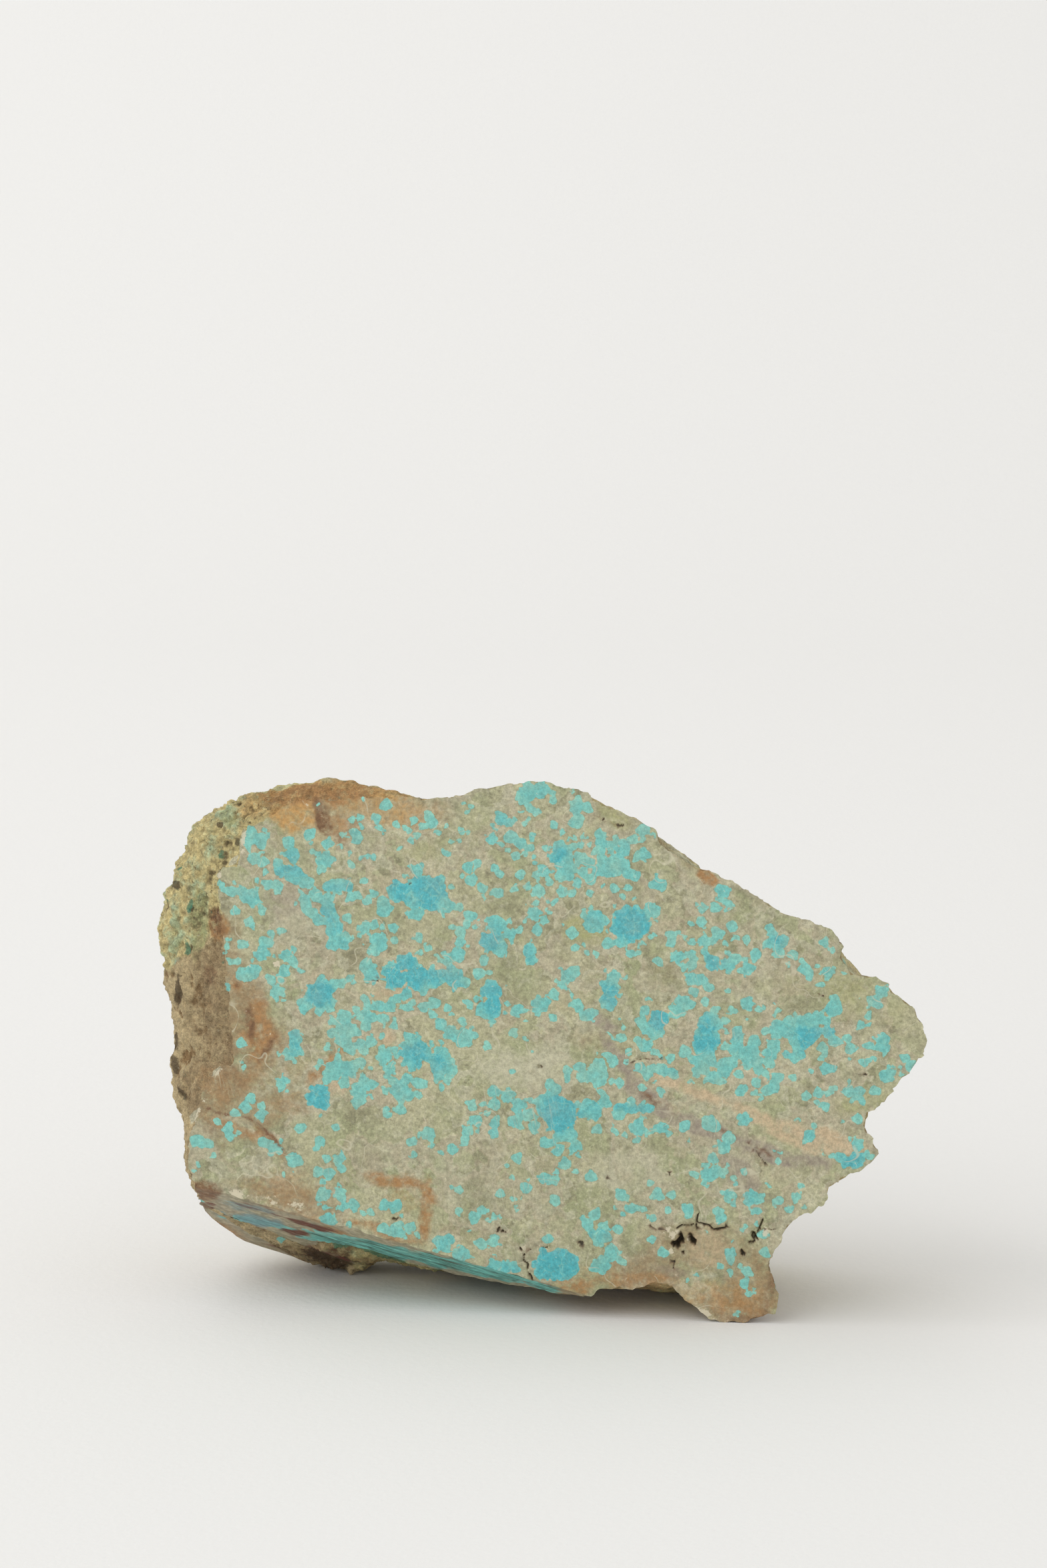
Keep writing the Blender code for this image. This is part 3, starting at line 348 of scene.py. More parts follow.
# Pits: x, y, half width, half height, turn; depth, and height of the crust round it, in millimetres.
PITS = [
    (1018, 1859, 6, 14, -14.0, 2.0, 0.2), (1011, 1864, 9, 6, 20.0, 1.6, 0.0),
    (1037, 1858, 5, 11, 28.0, 1.6, 0.2), (1023, 1879, 3, 4, -10.0, 0.9, 0.05),
    (1010, 1889, 2.2, 2.6, 0.0, 0.5, 0.0), (1008, 1900, 1.8, 2, 0.0, 0.4, 0.0),
    (1131, 1852, 4, 9, 30.0, 1.6, 0.15), (1125, 1861, 5, 3.5, 0.0, 0.9, 0.0),
    (1112, 1877, 4, 6.5, 0.0, 0.8, 0.05), (745, 1842, 3.2, 6.5, -10.0, 0.8, 0.0),
    (752, 1846, 5, 3.5, -20.0, 0.8, 0.0), (592, 1827, 8, 3, 5.0, 0.7, 0.0),
    (808, 1597, 3.2, 4, 0.0, 0.6, 0.0), (870, 1860, 4, 4, 0.0, 0.25, 0.0),
    (1003, 1760, 2.4, 2.4, 0.0, 0.3, 0.0), (907, 1767, 2, 2, 0.0, 0.3, 0.0),
    (1295, 1610, 3.4, 2.6, 0.0, 0.4, 0.0), (1230, 1492, 3.4, 2, 0.0, 0.3, 0.0),
    (903, 1228, 3.4, 2.2, 0.0, 0.4, 0.0), (931, 1237, 8, 2, 0.0, 0.4, 0.0),
]


def smooth_step(low: float, high: float, value: Any) -> Any:
    """Smooth step from 0 at low to 1 at high, for numbers and arrays."""
    share = np.clip((value - low) / (high - low), 0.0, 1.0)
    return share * share * (3.0 - 2.0 * share)


def noise_at(points: np.ndarray, size: float, shift: float = 0.0) -> np.ndarray:
    """Gradient noise at rows of x, y, z: one value a point, about -1 to 1; shift picks the pattern."""
    return np.array([noise.noise(row) for row in (points / size + shift).tolist()])


def noises_at(points: np.ndarray, size: float, *shifts: float) -> np.ndarray:
    """Several independent noises, a column each."""
    return np.stack([noise_at(points, size, shift) for shift in shifts], axis=1)


def oval_reach(offset: np.ndarray, half_size: Iterable[float], turn: float = 0.0) -> np.ndarray:
    """How far points lie from an oval's middle, as a share of the way to its border.

    Args:
        offset: The points, from the oval's middle.
        half_size: Half its width and height.
        turn: Its turn, in degrees.

    Returns:
        One share a point.
    """
    angle = math.radians(turn)
    wide, tall = half_size
    along = (offset[:, 0] * math.cos(angle) + offset[:, 1] * math.sin(angle)) / wide
    aside = (offset[:, 1] * math.cos(angle) - offset[:, 0] * math.sin(angle)) / tall
    return np.sqrt(along ** 2 + aside ** 2)


def route_distance(points: np.ndarray, route: np.ndarray) -> np.ndarray:
    """Distance of plane points from a route.

    Args:
        points: Rows of x, y.
        route: The route's corners, in order.

    Returns:
        One distance a point.
    """
    best = np.full(len(points), FAR)
    for start, end in zip(route, route[1:]):
        run = end - start
        share = np.clip(((points - start) @ run) / max(run @ run, 1e-9), 0.0, 1.0)
        best = np.minimum(best, np.linalg.norm(points - start - share[:, None] * run, axis=1))
    return best


def in_scene(name: str, data: bpy.types.ID) -> bpy.types.Object:
    """A new object of the scene, from its mesh, camera or light."""
    bpy.context.scene.collection.objects.link(made := bpy.data.objects.new(name, data))
    return made


@dataclass(frozen=True)
class SawPlane:
    """One flat saw cut."""

    zone: Zone
    point: Vector
    normal: Vector
    across: Vector            # first direction in the plane
    upward: Vector            # and the second

    def flat(self, points: np.ndarray) -> np.ndarray:
        """Plane coordinates of points."""
        offset = points - np.array(self.point)
        return np.stack([offset @ np.array(self.across), offset @ np.array(self.upward)], axis=1)

    def solid(self, flat: np.ndarray) -> np.ndarray:
        """World points of plane coordinates."""
        return np.array(self.point) + flat[:, :1] * np.array(self.across) + flat[:, 1:] * np.array(self.upward)

    def on_it(self, face: bmesh.types.BMFace) -> bool:
        """Whether a face of the solid lies in the plane."""
        away = (face.calc_center_median() - self.point).dot(self.normal)
        return abs(away) < 0.02 and face.normal.dot(self.normal) > 0.999


def saw_planes(record: dict[str, Any]) -> tuple[SawPlane, SawPlane]:
    """The two saw cuts, from the record's mounts.

    Args:
        record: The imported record.

    Returns:
        The sawn face and the lower cut.
    """
    mounts = {mount["name"]: mount for mount in record["mounts"]}
    (face_point, face_normal), (cut_point, cut_normal) = (
        (Vector(mounts[name]["pos_m"]) / MM, Vector(mounts[name]["axis"]))
        for name in ("sawn_face", "lower_saw_cut")
    )
    shared = face_normal.cross(cut_normal).normalized()
    face = SawPlane(Zone.SAWN, face_point, face_normal, Vector((1.0, 0.0, 0.0)), Vector((0.0, 0.0, 1.0)))
    return face, SawPlane(Zone.CUT, cut_point, cut_normal, shared, shared.cross(cut_normal))


@dataclass
class StudioView:
    """The camera that looks at the sawn face, and the rays through its pixels."""

    azimuth: float            # turn to the right of the sawn face's normal, in degrees
    elevation: float          # height above the stone's middle, in degrees
    distance: float           # from the face's middle
    lens: float
    sensor: float             # its size along the picture's long side
    size: tuple[int, int]     # width and height of the picture, in pixels
    middle: Vector            # the face's middle
    middle_pixel: tuple[float, float]  # where that middle lies in the picture

    AIM_STEPS = 30
    CLIP_END = 20.0           # metres

    def __post_init__(self) -> None:
        """Place the camera, and turn it until the middle falls on its pixel."""
        turn, rise = math.radians(self.azimuth), math.radians(self.elevation)
        back = Vector((math.sin(turn) * math.cos(rise), -math.cos(turn) * math.cos(rise), math.sin(rise)))
        self.place = self.middle + back * self.distance
        self.focal = self.lens / self.sensor * self.size[1]
        self.pixel_size = self.distance / self.focal
        scale = self.focal / self.distance
        aim = self.middle.copy()
        for _ in range(self.AIM_STEPS):
            self.forward = (aim - self.place).normalized()
            self.right = self.forward.cross(Vector((0.0, 0.0, 1.0))).normalized()
            self.up = self.right.cross(self.forward)
            seen = self.pixel(self.middle)
            aim.x += (seen[0] - self.middle_pixel[0]) / scale
            aim.z -= (seen[1] - self.middle_pixel[1]) / scale

    def pixel(self, point: Any) -> tuple[Any, Any]:
        """The pixel that a point falls on, or those of many points at once.

        Args:
            point: The point, or rows of x, y, z.

        Returns:
            Its x and y, or all of them.
        """
        offset = point - self.place
        depth = offset @ self.forward
        across = self.focal * (offset @ self.right) / depth
        upward = self.focal * (offset @ self.up) / depth
        return 0.5 * self.size[0] + across, 0.5 * self.size[1] - upward

    def on_plane(self, pixel: Sequence[float], plane: SawPlane) -> Vector:
        """Where the ray through a pixel meets a saw cut's plane.

        Args:
            pixel: The pixel.
            plane: The cut.

        Returns:
            The point.
        """
        across = (pixel[0] - 0.5 * self.size[0]) / self.focal
        downward = (pixel[1] - 0.5 * self.size[1]) / self.focal
        ray = (self.forward + self.right * across - self.up * downward).normalized()
        return self.place + ray * ((plane.point - self.place).dot(plane.normal) / ray.dot(plane.normal))

    def make_camera(self) -> None:
        """Make the scene's camera."""
        data = bpy.data.cameras.new("studio_camera")
        data.lens = self.lens
        data.sensor_width = self.sensor
        data.clip_end = self.CLIP_END
        camera = in_scene("studio_camera", data)
        camera.location = self.place * MM
        camera.rotation_euler = self.forward.to_track_quat("-Z", "Y").to_euler()
        bpy.context.scene.camera = camera


Disc = tuple[float, float, float, float]


@dataclass
class Nodules:
    """Every turquoise nodule that the saw cuts cross, as round bodies."""

    view: StudioView
    face: SawPlane
    cut: SawPlane

    LOBED_FROM = 10.5         # view pixels: larger patches are made of cells
    CELL = 7.5                # radius of a cell, in view pixels
    SPREAD = 1.07             # the placed sizes are grown by this
    MISSING_CELLS = 0.12      # share of a patch's outer cells that is left out
    SATELLITES = 0.85         # mean number of small nodules beside each patch
    REACH = 9.0               # no body reaches farther than this, in millimetres
    BEND = 0.5                # how far the bodies' borders are bent out of round, in millimetres
    BEND_SIZE = 1.0
    BATCH = 1024
    RING_ROWS = (-0.11, 0.11)  # how far inside a body's border each row of mesh points runs
    RING_SPACING = 0.36
    RING_REACH = 0.2          # those farther than this from every real border are left out
    CUT_TINT = 0.4            # tint of the nodules on the lower cut
    CUT_NODULES = (           # x, y in view pixels, radius in millimetres
        (322, 1821, 0.9), (334, 1824, 0.8), (347, 1836, 0.8), (353, 1842, 0.7), (362, 1826, 1.5),
        (380, 1829, 1.9), (398, 1833, 1.8), (416, 1837, 1.6), (434, 1841, 1.2), (422, 1855, 0.7),
        (450, 1853, 1.0), (464, 1856, 1.1), (458, 1843, 0.7), (465, 1835, 0.7), (480, 1846, 1.2),
        (500, 1852, 1.9), (522, 1857, 2.2), (546, 1862, 2.3), (570, 1869, 2.4), (594, 1876, 2.3),
        (618, 1882, 2.2), (642, 1888, 2.0), (668, 1894, 1.9), (694, 1901, 1.7), (720, 1907, 1.6),
        (746, 1912, 1.5), (772, 1918, 1.4), (798, 1925, 1.3), (824, 1932, 1.1), (300, 1798, 0.6),
    )

    def __post_init__(self) -> None:
        """Lay out the nodules on both cuts."""
        self.rng = np.random.default_rng(SEED)
        discs: list[Disc] = []
        for group in NODULES.values():
            for entry in group:
                discs.extend(self.patch(entry))
        discs.extend(self.satellites(discs))
        bodies = [
            (*self.view.on_plane((x, y), self.face), radius * self.view.pixel_size, tint)
            for x, y, radius, tint in discs
        ]
        bodies.extend(
            (*self.view.on_plane((x, y), self.cut), radius, self.CUT_TINT) for x, y, radius in self.CUT_NODULES
        )
        table = np.array(sorted(bodies))
        self.centres, self.radii, self.tints = table[:, :3], table[:, 3], table[:, 4]

    def patch(self, entry: Sequence[float]) -> list[Disc]:
        """One placed patch as discs: a string of them for a long one.

        Args:
            entry: x, y, radius, or x, y, half width, half height.

        Returns:
            Discs as x, y, radius in view pixels, and their tint.
        """
        x, y, wide = entry[:3]
        tall = entry[3] if len(entry) > 3 else wide
        small, large = self.SPREAD * min(wide, tall), self.SPREAD * max(wide, tall)
        tint = float(np.clip((large - 5.0) / 16.0 + self.rng.uniform(-0.15, 0.15), 0.0, 1.0))
        steps = max(1, round((large - small) / small * 1.6) + 1) if large > small else 1
        discs = []
        for step in range(steps):
            shift = 0.0 if steps == 1 else (2.0 * step / (steps - 1) - 1.0) * (large - small)
            place = (x + shift, y) if wide > tall else (x, y + shift)
            discs.extend(self.lobed(place, small, tint))
        return discs

    def lobed(self, place: tuple[float, float], radius: float, tint: float) -> list[Disc]:
        """A round patch as a core with a ring of cells round it, some of them missing.

        Args:
            place: Its middle.
            radius: Its radius.
            tint: Its tint.

        Returns:
            Its discs.
        """
        if radius < self.LOBED_FROM:
            return [(place[0], place[1], radius, tint)]
        cell = min(self.CELL, 0.5 * radius)
        discs = [(place[0], place[1], radius - 0.7 * cell, tint)]
        around = max(5, round(math.tau * (radius - cell) / (1.4 * cell)))
        start = self.rng.uniform(0.0, math.tau)
        for step in range(around):
            angle = start + math.tau * (step + self.rng.uniform(-0.3, 0.3)) / around
            size = cell * self.rng.uniform(0.55, 1.3)
            reach = radius - size + self.rng.uniform(-0.3, 0.35) * cell
            if self.rng.random() < self.MISSING_CELLS:
                continue
            shade = float(np.clip(tint + self.rng.uniform(-0.3, 0.1), 0.0, 1.0))
            discs.append((place[0] + reach * math.cos(angle), place[1] + reach * math.sin(angle), size, shade))
        return discs

    def satellites(self, discs: Sequence[Disc]) -> list[Disc]:
        """Small pale nodules scattered beside the placed ones.

        Args:
            discs: The placed ones.

        Returns:
            The small ones.
        """
        found = []
        for x, y, radius, _ in discs:
            for _ in range(self.rng.poisson(self.SATELLITES * min(1.0, (radius / 12.0) ** 1.5))):
                angle = self.rng.uniform(0.0, math.tau)
                size = self.rng.uniform(3.0, 5.8)
                reach = radius + size + self.rng.uniform(-1.0, 7.0)
                shade = self.rng.uniform(0.0, 0.35)
                found.append((x + reach * math.cos(angle), y + reach * math.sin(angle), size, shade))
        return found

    def bent(self, points: np.ndarray) -> np.ndarray:
        """Points shifted by the bend that makes round bodies irregular."""
        return points + self.BEND * noises_at(points, self.BEND_SIZE, 31.0, 37.0, 43.0)

    def depth_inside(self, points: np.ndarray) -> tuple[np.ndarray, np.ndarray]:
        """How far points lie inside the nearest nodule, negative outside all of them, and its tint.

        Args:
            points: Rows of x, y, z.

        Returns:
            Depths and tints.
        """
        points = self.bent(points)
        order = np.argsort(points[:, 0])
        depth, tint = np.full(len(points), -self.REACH), np.zeros(len(points))
        for start in range(0, len(points), self.BATCH):
            rows = order[start:start + self.BATCH]
            part = points[rows]
            ends = (part[0, 0] - self.REACH, part[-1, 0] + self.REACH)
            low, high = np.searchsorted(self.centres[:, 0], ends)
            if high == low:
                continue
            gaps = np.linalg.norm(part[:, None, :] - self.centres[None, low:high, :], axis=2)
            inside = self.radii[None, low:high] - gaps
            best = inside.argmax(axis=1)
            depth[rows] = inside[np.arange(len(rows)), best]
            tint[rows] = self.tints[low + best]
        return depth, tint

    def ring_points(self, plane: SawPlane) -> np.ndarray:
        """Plane points along the nodules' borders.

        Args:
            plane: The cut that they lie on.

        Returns:
            Plane coordinates.
        """
        near = np.abs((self.centres - np.array(plane.point)) @ np.array(plane.normal)) < 0.05
        found = []
        for centre, radius in zip(plane.flat(self.centres[near]), self.radii[near]):
            for row in self.RING_ROWS:
                if radius - row < 0.08:
                    continue
                count = max(6, round(math.tau * (radius - row) / self.RING_SPACING))
                angles = np.linspace(0.0, math.tau, count, endpoint=False) + self.rng.uniform(0.0, math.tau)
                found.append(centre + (radius - row) * np.stack([np.cos(angles), np.sin(angles)], axis=1))
            found.append(centre[None, :])
        wanted = plane.solid(np.concatenate(found))
        flat = plane.flat(wanted)
        for _ in range(3):
            solid = plane.solid(flat)
            flat = plane.flat(wanted - (self.bent(solid) - solid))
        inside, _ = self.depth_inside(plane.solid(flat))
        return flat[np.abs(inside) < self.RING_REACH]


@dataclass
class Markings:
    """Stains, cracks, seams and pits, worked out at points of the surface."""

    view: StudioView
    face: SawPlane

    WARP = 14.0               # how far a stain's border wanders, in view pixels
    FINE_WARP = 0.4           # share of that in the finer part of the wandering
    WOBBLE = 0.12             # how far lines and pits wander, in millimetres
    PIT_WOBBLE = 4.0          # how much more the pits do
    SPACING = 0.16            # of the mesh points along lines and in pits
    LINE_ROWS = (-2.0, -1.2, -0.5, 0.0, 0.5, 1.2, 2.0)  # rows of mesh points along a line, in half widths
    LOW_DOWN = (10.0, 15.0)   # below this height stains fade by how far back they are, above it by the slope
    FADE_BACK = (16.0, 28.0)  # stains low down fade out this far behind the face
    FADE_TURNED = (0.05, 0.4)  # higher up they fade out where the surface turns away from the view

    def __post_init__(self) -> None:
        """Find the lines' and pits' places on the face."""
        self.lines = [
            (kind, half_width, depth, self.on_face(route))
            for kind, rows in FACE_LINES.items() for half_width, depth, *route in rows
        ]
        pixel = self.view.pixel_size
        self.pits = [
            (self.on_face([(x, y)])[0], (wide * pixel, tall * pixel), turn, depth, bump)
            for x, y, wide, tall, turn, depth, bump in PITS
        ]

    def on_face(self, route: Iterable[Sequence[float]]) -> np.ndarray:
        """Plane coordinates of view pixels on the sawn face."""
        return self.face.flat(np.array([tuple(self.view.on_plane(pixel, self.face)) for pixel in route]))

    def stains(self, points: np.ndarray, normals: np.ndarray) -> dict[str, np.ndarray]:
        """Strength of each kind of stain.

        Args:
            points: Rows of x, y, z.
            normals: Their normals.

        Returns:
            One array a kind of stain, by attribute name.
        """
        seen = np.stack(self.view.pixel(points), axis=1)
        wander = noises_at(points, 4.0, 3.0, 11.0) * self.WARP
        wander += noises_at(points, 1.6, 5.0, 23.0) * self.FINE_WARP * self.WARP
        facing = 0.35 * noise_at(points, 4.0, 8.0) - normals @ np.array(self.view.forward)
        low = 1.0 - smooth_step(*self.LOW_DOWN, points[:, 2])
        near = 1.0 - smooth_step(*self.FADE_BACK, points[:, 1] - self.face.point.y)
        fade = low * near + (1.0 - low) * smooth_step(*self.FADE_TURNED, facing)
        strengths = {}
        for stain, spots in STAINS.items():
            total = np.zeros(len(points))
            for x, y, wide, tall, strength, *turn in spots:
                offset = seen + wander * min(1.0, min(wide, tall) / 25.0) - (x, y)
                reach = oval_reach(offset, (wide, tall), *turn)
                total = np.maximum(total, strength * (1.0 - smooth_step(0.45, 1.35, reach)))
            strengths[stain.value] = total * fade
        return strengths

    def deep(self, points: np.ndarray) -> np.ndarray:
        """How deep in colour the turquoise is at points.

        Args:
            points: Rows of x, y, z.

        Returns:
            One value a point, 0 to 1.
        """
        seen, total = np.stack(self.view.pixel(points), axis=1), np.zeros(len(points))
        for x, y, radius in DEEP_CORES:
            reach = np.linalg.norm(seen - (x, y), axis=1) / radius
            total = np.maximum(total, 1.0 - smooth_step(0.4, 1.5, reach))
        return total

    def hollows(self, points: np.ndarray, flat: np.ndarray) -> tuple[dict[str, np.ndarray], np.ndarray]:
        """Strength of cracks, seams and pits, and how deep they go in.

        Args:
            points: Rows of x, y, z.
            flat: Their plane coordinates on the sawn face.

        Returns:
            Strengths by attribute name, and the depth at each point.
        """
        wobble = self.WOBBLE * noises_at(points, 0.8, 1.5, 9.5)
        swell = np.maximum(0.35, 1.0 + 9.0 * wobble[:, 1])
        marks = {name: np.zeros(len(flat)) for name in (*FACE_LINES, "hollow")}
        cut_in, pressed = np.zeros(len(flat)), np.zeros(len(flat))
        for kind, half_width, depth, route in self.lines:
            away = route_distance(flat + wobble, route) / (half_width * swell)
            marks[kind] = np.maximum(marks[kind], np.minimum(1.0, swell) * (1.0 - smooth_step(0.5, 1.6, away)))
            cut_in = np.maximum(cut_in, depth * (1.0 - smooth_step(0.2, 1.3, away)))
        for place, half_size, turn, depth, bump in self.pits:
            reach = oval_reach(flat + self.PIT_WOBBLE * wobble - place, half_size, turn)
            marks["hollow"] = np.maximum(marks["hollow"], 1.0 - smooth_step(0.75, 1.15, reach))
            pressed = np.maximum(pressed, depth * (1.0 - smooth_step(0.25, 1.15, reach)))
            pressed -= bump * (smooth_step(1.0, 1.5, reach) - smooth_step(1.8, 2.8, reach))
        return marks, np.maximum(cut_in, pressed)

    def detail_points(self) -> np.ndarray:
        """Plane points that carry the shape of the lines and pits.

        Returns:
            Plane coordinates.
        """
        found = []
        for _, half_width, _, route in self.lines:
            for start, end in zip(route, route[1:]):
                run = end - start
                length = np.linalg.norm(run)
                side = np.array([-run[1], run[0]]) / length
                for share in np.arange(0.0, 1.0, self.SPACING / length):
                    found.extend(start + share * run + side * row * half_width for row in self.LINE_ROWS)
        for place, half_size, *_ in self.pits:
            reach = 1.5 * max(half_size)
            steps = np.arange(-reach, reach, self.SPACING)
            grid = np.stack(np.meshgrid(steps, steps), axis=-1).reshape(-1, 2)
            found.extend(place + grid[np.linalg.norm(grid, axis=1) < reach])
        return np.array(found)


@dataclass
class StoneShell:
    """The stone's surface as one closed mesh, in millimetres."""

    planes: tuple[SawPlane, SawPlane]
    nodules: Nodules
    markings: Markings

    MERGE = 0.003             # corners closer than this are one
    COARSE_EDGE = 1.5         # longest edge on the hidden rind
    FINE_EDGE = 0.45          # longest edge on the rind that the view shows
    SHOWN = (                 # how far it shows from the left end and from the face, and up to what height
        (17.0, 18.0, FAR), (45.0, 4.5, FAR), (45.0, 27.0, 12.0),
    )
    BESIDE_FACE = 2.5         # medium edges this close behind the face
    REFINE_PASSES = 5
    SMOOTH_PASSES = 8
    RIM_SPACING = 0.4         # points along the sawn edges
    RIM_CHIP = {Zone.SAWN: 0.5, Zone.CUT: 0.9}  # how far the sawn edges wander
    SHEET_PITCH = {Zone.SAWN: 1.0, Zone.CUT: 0.5}
    THINNEST = 0.19           # points closer than this are thinned out
    RIM_MARGIN = 0.2
    WAVES, GROOVES = 0.03, 0.12  # depth of the cuts' waves and of the lower cut's grooves

    def __post_init__(self) -> None:
        """Copy the solid, with its loose triangles joined."""
        self.shape = bmesh.new()
        self.shape.from_mesh(frame["nodes"][NODE].data)
        bmesh.ops.scale(self.shape, vec=Vector((1.0, 1.0, 1.0)) / MM, verts=self.shape.verts)
        bmesh.ops.remove_doubles(self.shape, verts=self.shape.verts, dist=self.MERGE)
        self.shape.normal_update()
        self.rng = np.random.default_rng(SEED + 1)
        self.cad_left = min(vert.co.x for vert in self.shape.verts)

    def build(self) -> bpy.types.Object:
        """Take the cuts out, refine the rind, and lay the cuts again.

        Returns:
            The stone's object, in metres, with its attributes.
        """
        self.open_cuts()
        self.refine_rind()
        corners = self.cut_corners()
        self.chip_rims(corners)
        chain = self.shared_edge(corners)
        rims = [self.rim_path(plane.zone, corners) + chain for plane in self.planes]
        for plane, rim in zip(self.planes, rims):
            self.lay_sheet(plane, rim)
        self.close_gaps()
        return self.to_object()

    def close_gaps(self) -> None:
        """Fill what little loops the rims leave beside them."""
        open_edges = [edge for edge in self.shape.edges if edge.is_boundary]
        filled = bmesh.ops.holes_fill(self.shape, edges=open_edges)["faces"]
        for face in bmesh.ops.triangulate(self.shape, faces=filled)["faces"]:
            face[self.zone_layer] = Zone.CUT.value

    def open_cuts(self) -> None:
        """Delete the two cuts and the plain hollows in them, and remember which rim is whose."""
        self.zone_layer = self.shape.faces.layers.int.new("zone")
        self.rim_layer = self.shape.edges.layers.int.new("rim")
        for face in self.shape.faces:
            face[self.zone_layer] = Zone.RIND.value
            for plane in self.planes:
                if plane.on_it(face):
                    face[self.zone_layer] = plane.zone.value
        rind = [face for face in self.shape.faces if face[self.zone_layer] == Zone.RIND.value]
        for edge in self.shape.edges:
            zones = {face[self.zone_layer] for face in edge.link_faces}
            edge[self.rim_layer] = max(zones - {Zone.RIND.value}, default=-1) if len(zones) == 2 else -1
        kept = self.largest_patch(rind)
        gone = [face for face in self.shape.faces if face not in kept]
        bmesh.ops.delete(self.shape, geom=gone, context="FACES")

    def largest_patch(self, faces: list[bmesh.types.BMFace]) -> set[bmesh.types.BMFace]:
        """The largest set of connected faces.

        Args:
            faces: The faces to choose from.

        Returns:
            The set.
        """
        left, best = set(faces), set()
        while left:
            patch, front = set(), [left.pop()]
            while front:
                face = front.pop()
                patch.add(face)
                for edge in face.edges:
                    for other in edge.link_faces:
                        if other in left:
                            left.remove(other)
                            front.append(other)
            best = max(best, patch, key=len)
        return best

    def edge_limit(self, place: Vector) -> float:
        """Longest edge wanted at a place on the rind.

        Args:
            place: The place.

        Returns:
            The length.
        """
        along, back = place.x - self.cad_left, place.y - self.planes[0].point.y
        if any(along < right and back < deep and place.z < high for right, deep, high in self.SHOWN):
            return self.FINE_EDGE
        return 0.5 * (self.FINE_EDGE + self.COARSE_EDGE) if back < self.BESIDE_FACE else self.COARSE_EDGE

    def refine_rind(self) -> None:
        """Halve long edges until their places allow them, then round off the facets between the rims."""
        for _ in range(self.REFINE_PASSES):
            long_edges = [
                edge for edge in self.shape.edges
                if edge.calc_length() > (
                    1.5 * self.RIM_SPACING if edge.is_boundary
                    else self.edge_limit(0.5 * (edge.verts[0].co + edge.verts[1].co))
                )
            ]
            if not long_edges:
                break
            bmesh.ops.subdivide_edges(self.shape, edges=long_edges, cuts=1)
            wide = [face for face in self.shape.faces if len(face.verts) > 3]
            bmesh.ops.triangulate(self.shape, faces=wide)
        inner = [vert for vert in self.shape.verts if not vert.is_boundary]
        for _ in range(self.SMOOTH_PASSES):
            bmesh.ops.smooth_vert(
                self.shape, verts=inner, factor=0.5, use_axis_x=True, use_axis_y=True, use_axis_z=True
            )

    def rim_edges(self, vert: bmesh.types.BMVert) -> list[bmesh.types.BMEdge]:
        """The open edges at a corner."""
        return [edge for edge in vert.link_edges if edge.is_boundary]

    def cut_corners(self) -> list[bmesh.types.BMVert]:
        """The corners where the rims of the two cuts meet.

        Returns:
            The left one and the right one.
        """
        both = {Zone.SAWN.value, Zone.CUT.value}
        found = [
            vert for vert in self.shape.verts
            if vert.is_boundary and {edge[self.rim_layer] for edge in self.rim_edges(vert)} == both
        ]
        return sorted(found, key=lambda vert: vert.co.x)

    def rim_path(self, zone: Zone, corners: list[bmesh.types.BMVert]) -> list[bmesh.types.BMVert]:
        """The rim of one cut, from the right corner round to the left one.

        Args:
            zone: The cut.
            corners: The two corners.

        Returns:
            The rim's corners in order.
        """
        path, walked = [corners[1]], set()
        while path[-1] != corners[0]:
            edge = next(
                edge for edge in self.rim_edges(path[-1])
                if edge[self.rim_layer] == zone.value and edge not in walked
            )
            walked.add(edge)
            place = edge.other_vert(path[-1])
            if place in path:
                del path[path.index(place) + 1:]
            else:
                path.append(place)
        return path

    def chip_rims(self, corners: list[bmesh.types.BMVert]) -> None:
        """Let the sawn edges wander a little in their planes, as a chipped edge does.

        Args:
            corners: The two corners where the rims meet.
        """
        aside = Vector((7.0, 3.0, 1.0))
        for plane in self.planes:
            for vert in self.rim_path(plane.zone, corners)[1:-1]:
                coarse, fine = vert.co / 1.7, vert.co / 1.7 * 2.6
                shift = Vector((noise.noise(coarse), noise.noise(coarse + aside)))
                shift += Vector((noise.noise(fine), noise.noise(fine + aside))) * 0.6
                vert.co += (plane.across * shift.x + plane.upward * shift.y) * self.RIM_CHIP[plane.zone]

    def shared_edge(self, corners: list[bmesh.types.BMVert]) -> list[bmesh.types.BMVert]:
        """Add points along the edge between the two cuts, slightly chipped.

        Args:
            corners: The edge's two ends.

        Returns:
            The points, from left to right.
        """
        run = corners[1].co - corners[0].co
        count = round(run.length / self.RIM_SPACING)
        inward = -(self.planes[0].normal + self.planes[1].normal).normalized()
        chain = []
        for step in range(1, count):
            place = corners[0].co + run * (step / count)
            chip = max(0.0, noise.noise(place / 1.3)) * 1.3 * self.RIM_CHIP[Zone.SAWN]
            chain.append(self.shape.verts.new(place + inward * (0.03 + chip)))
        return chain

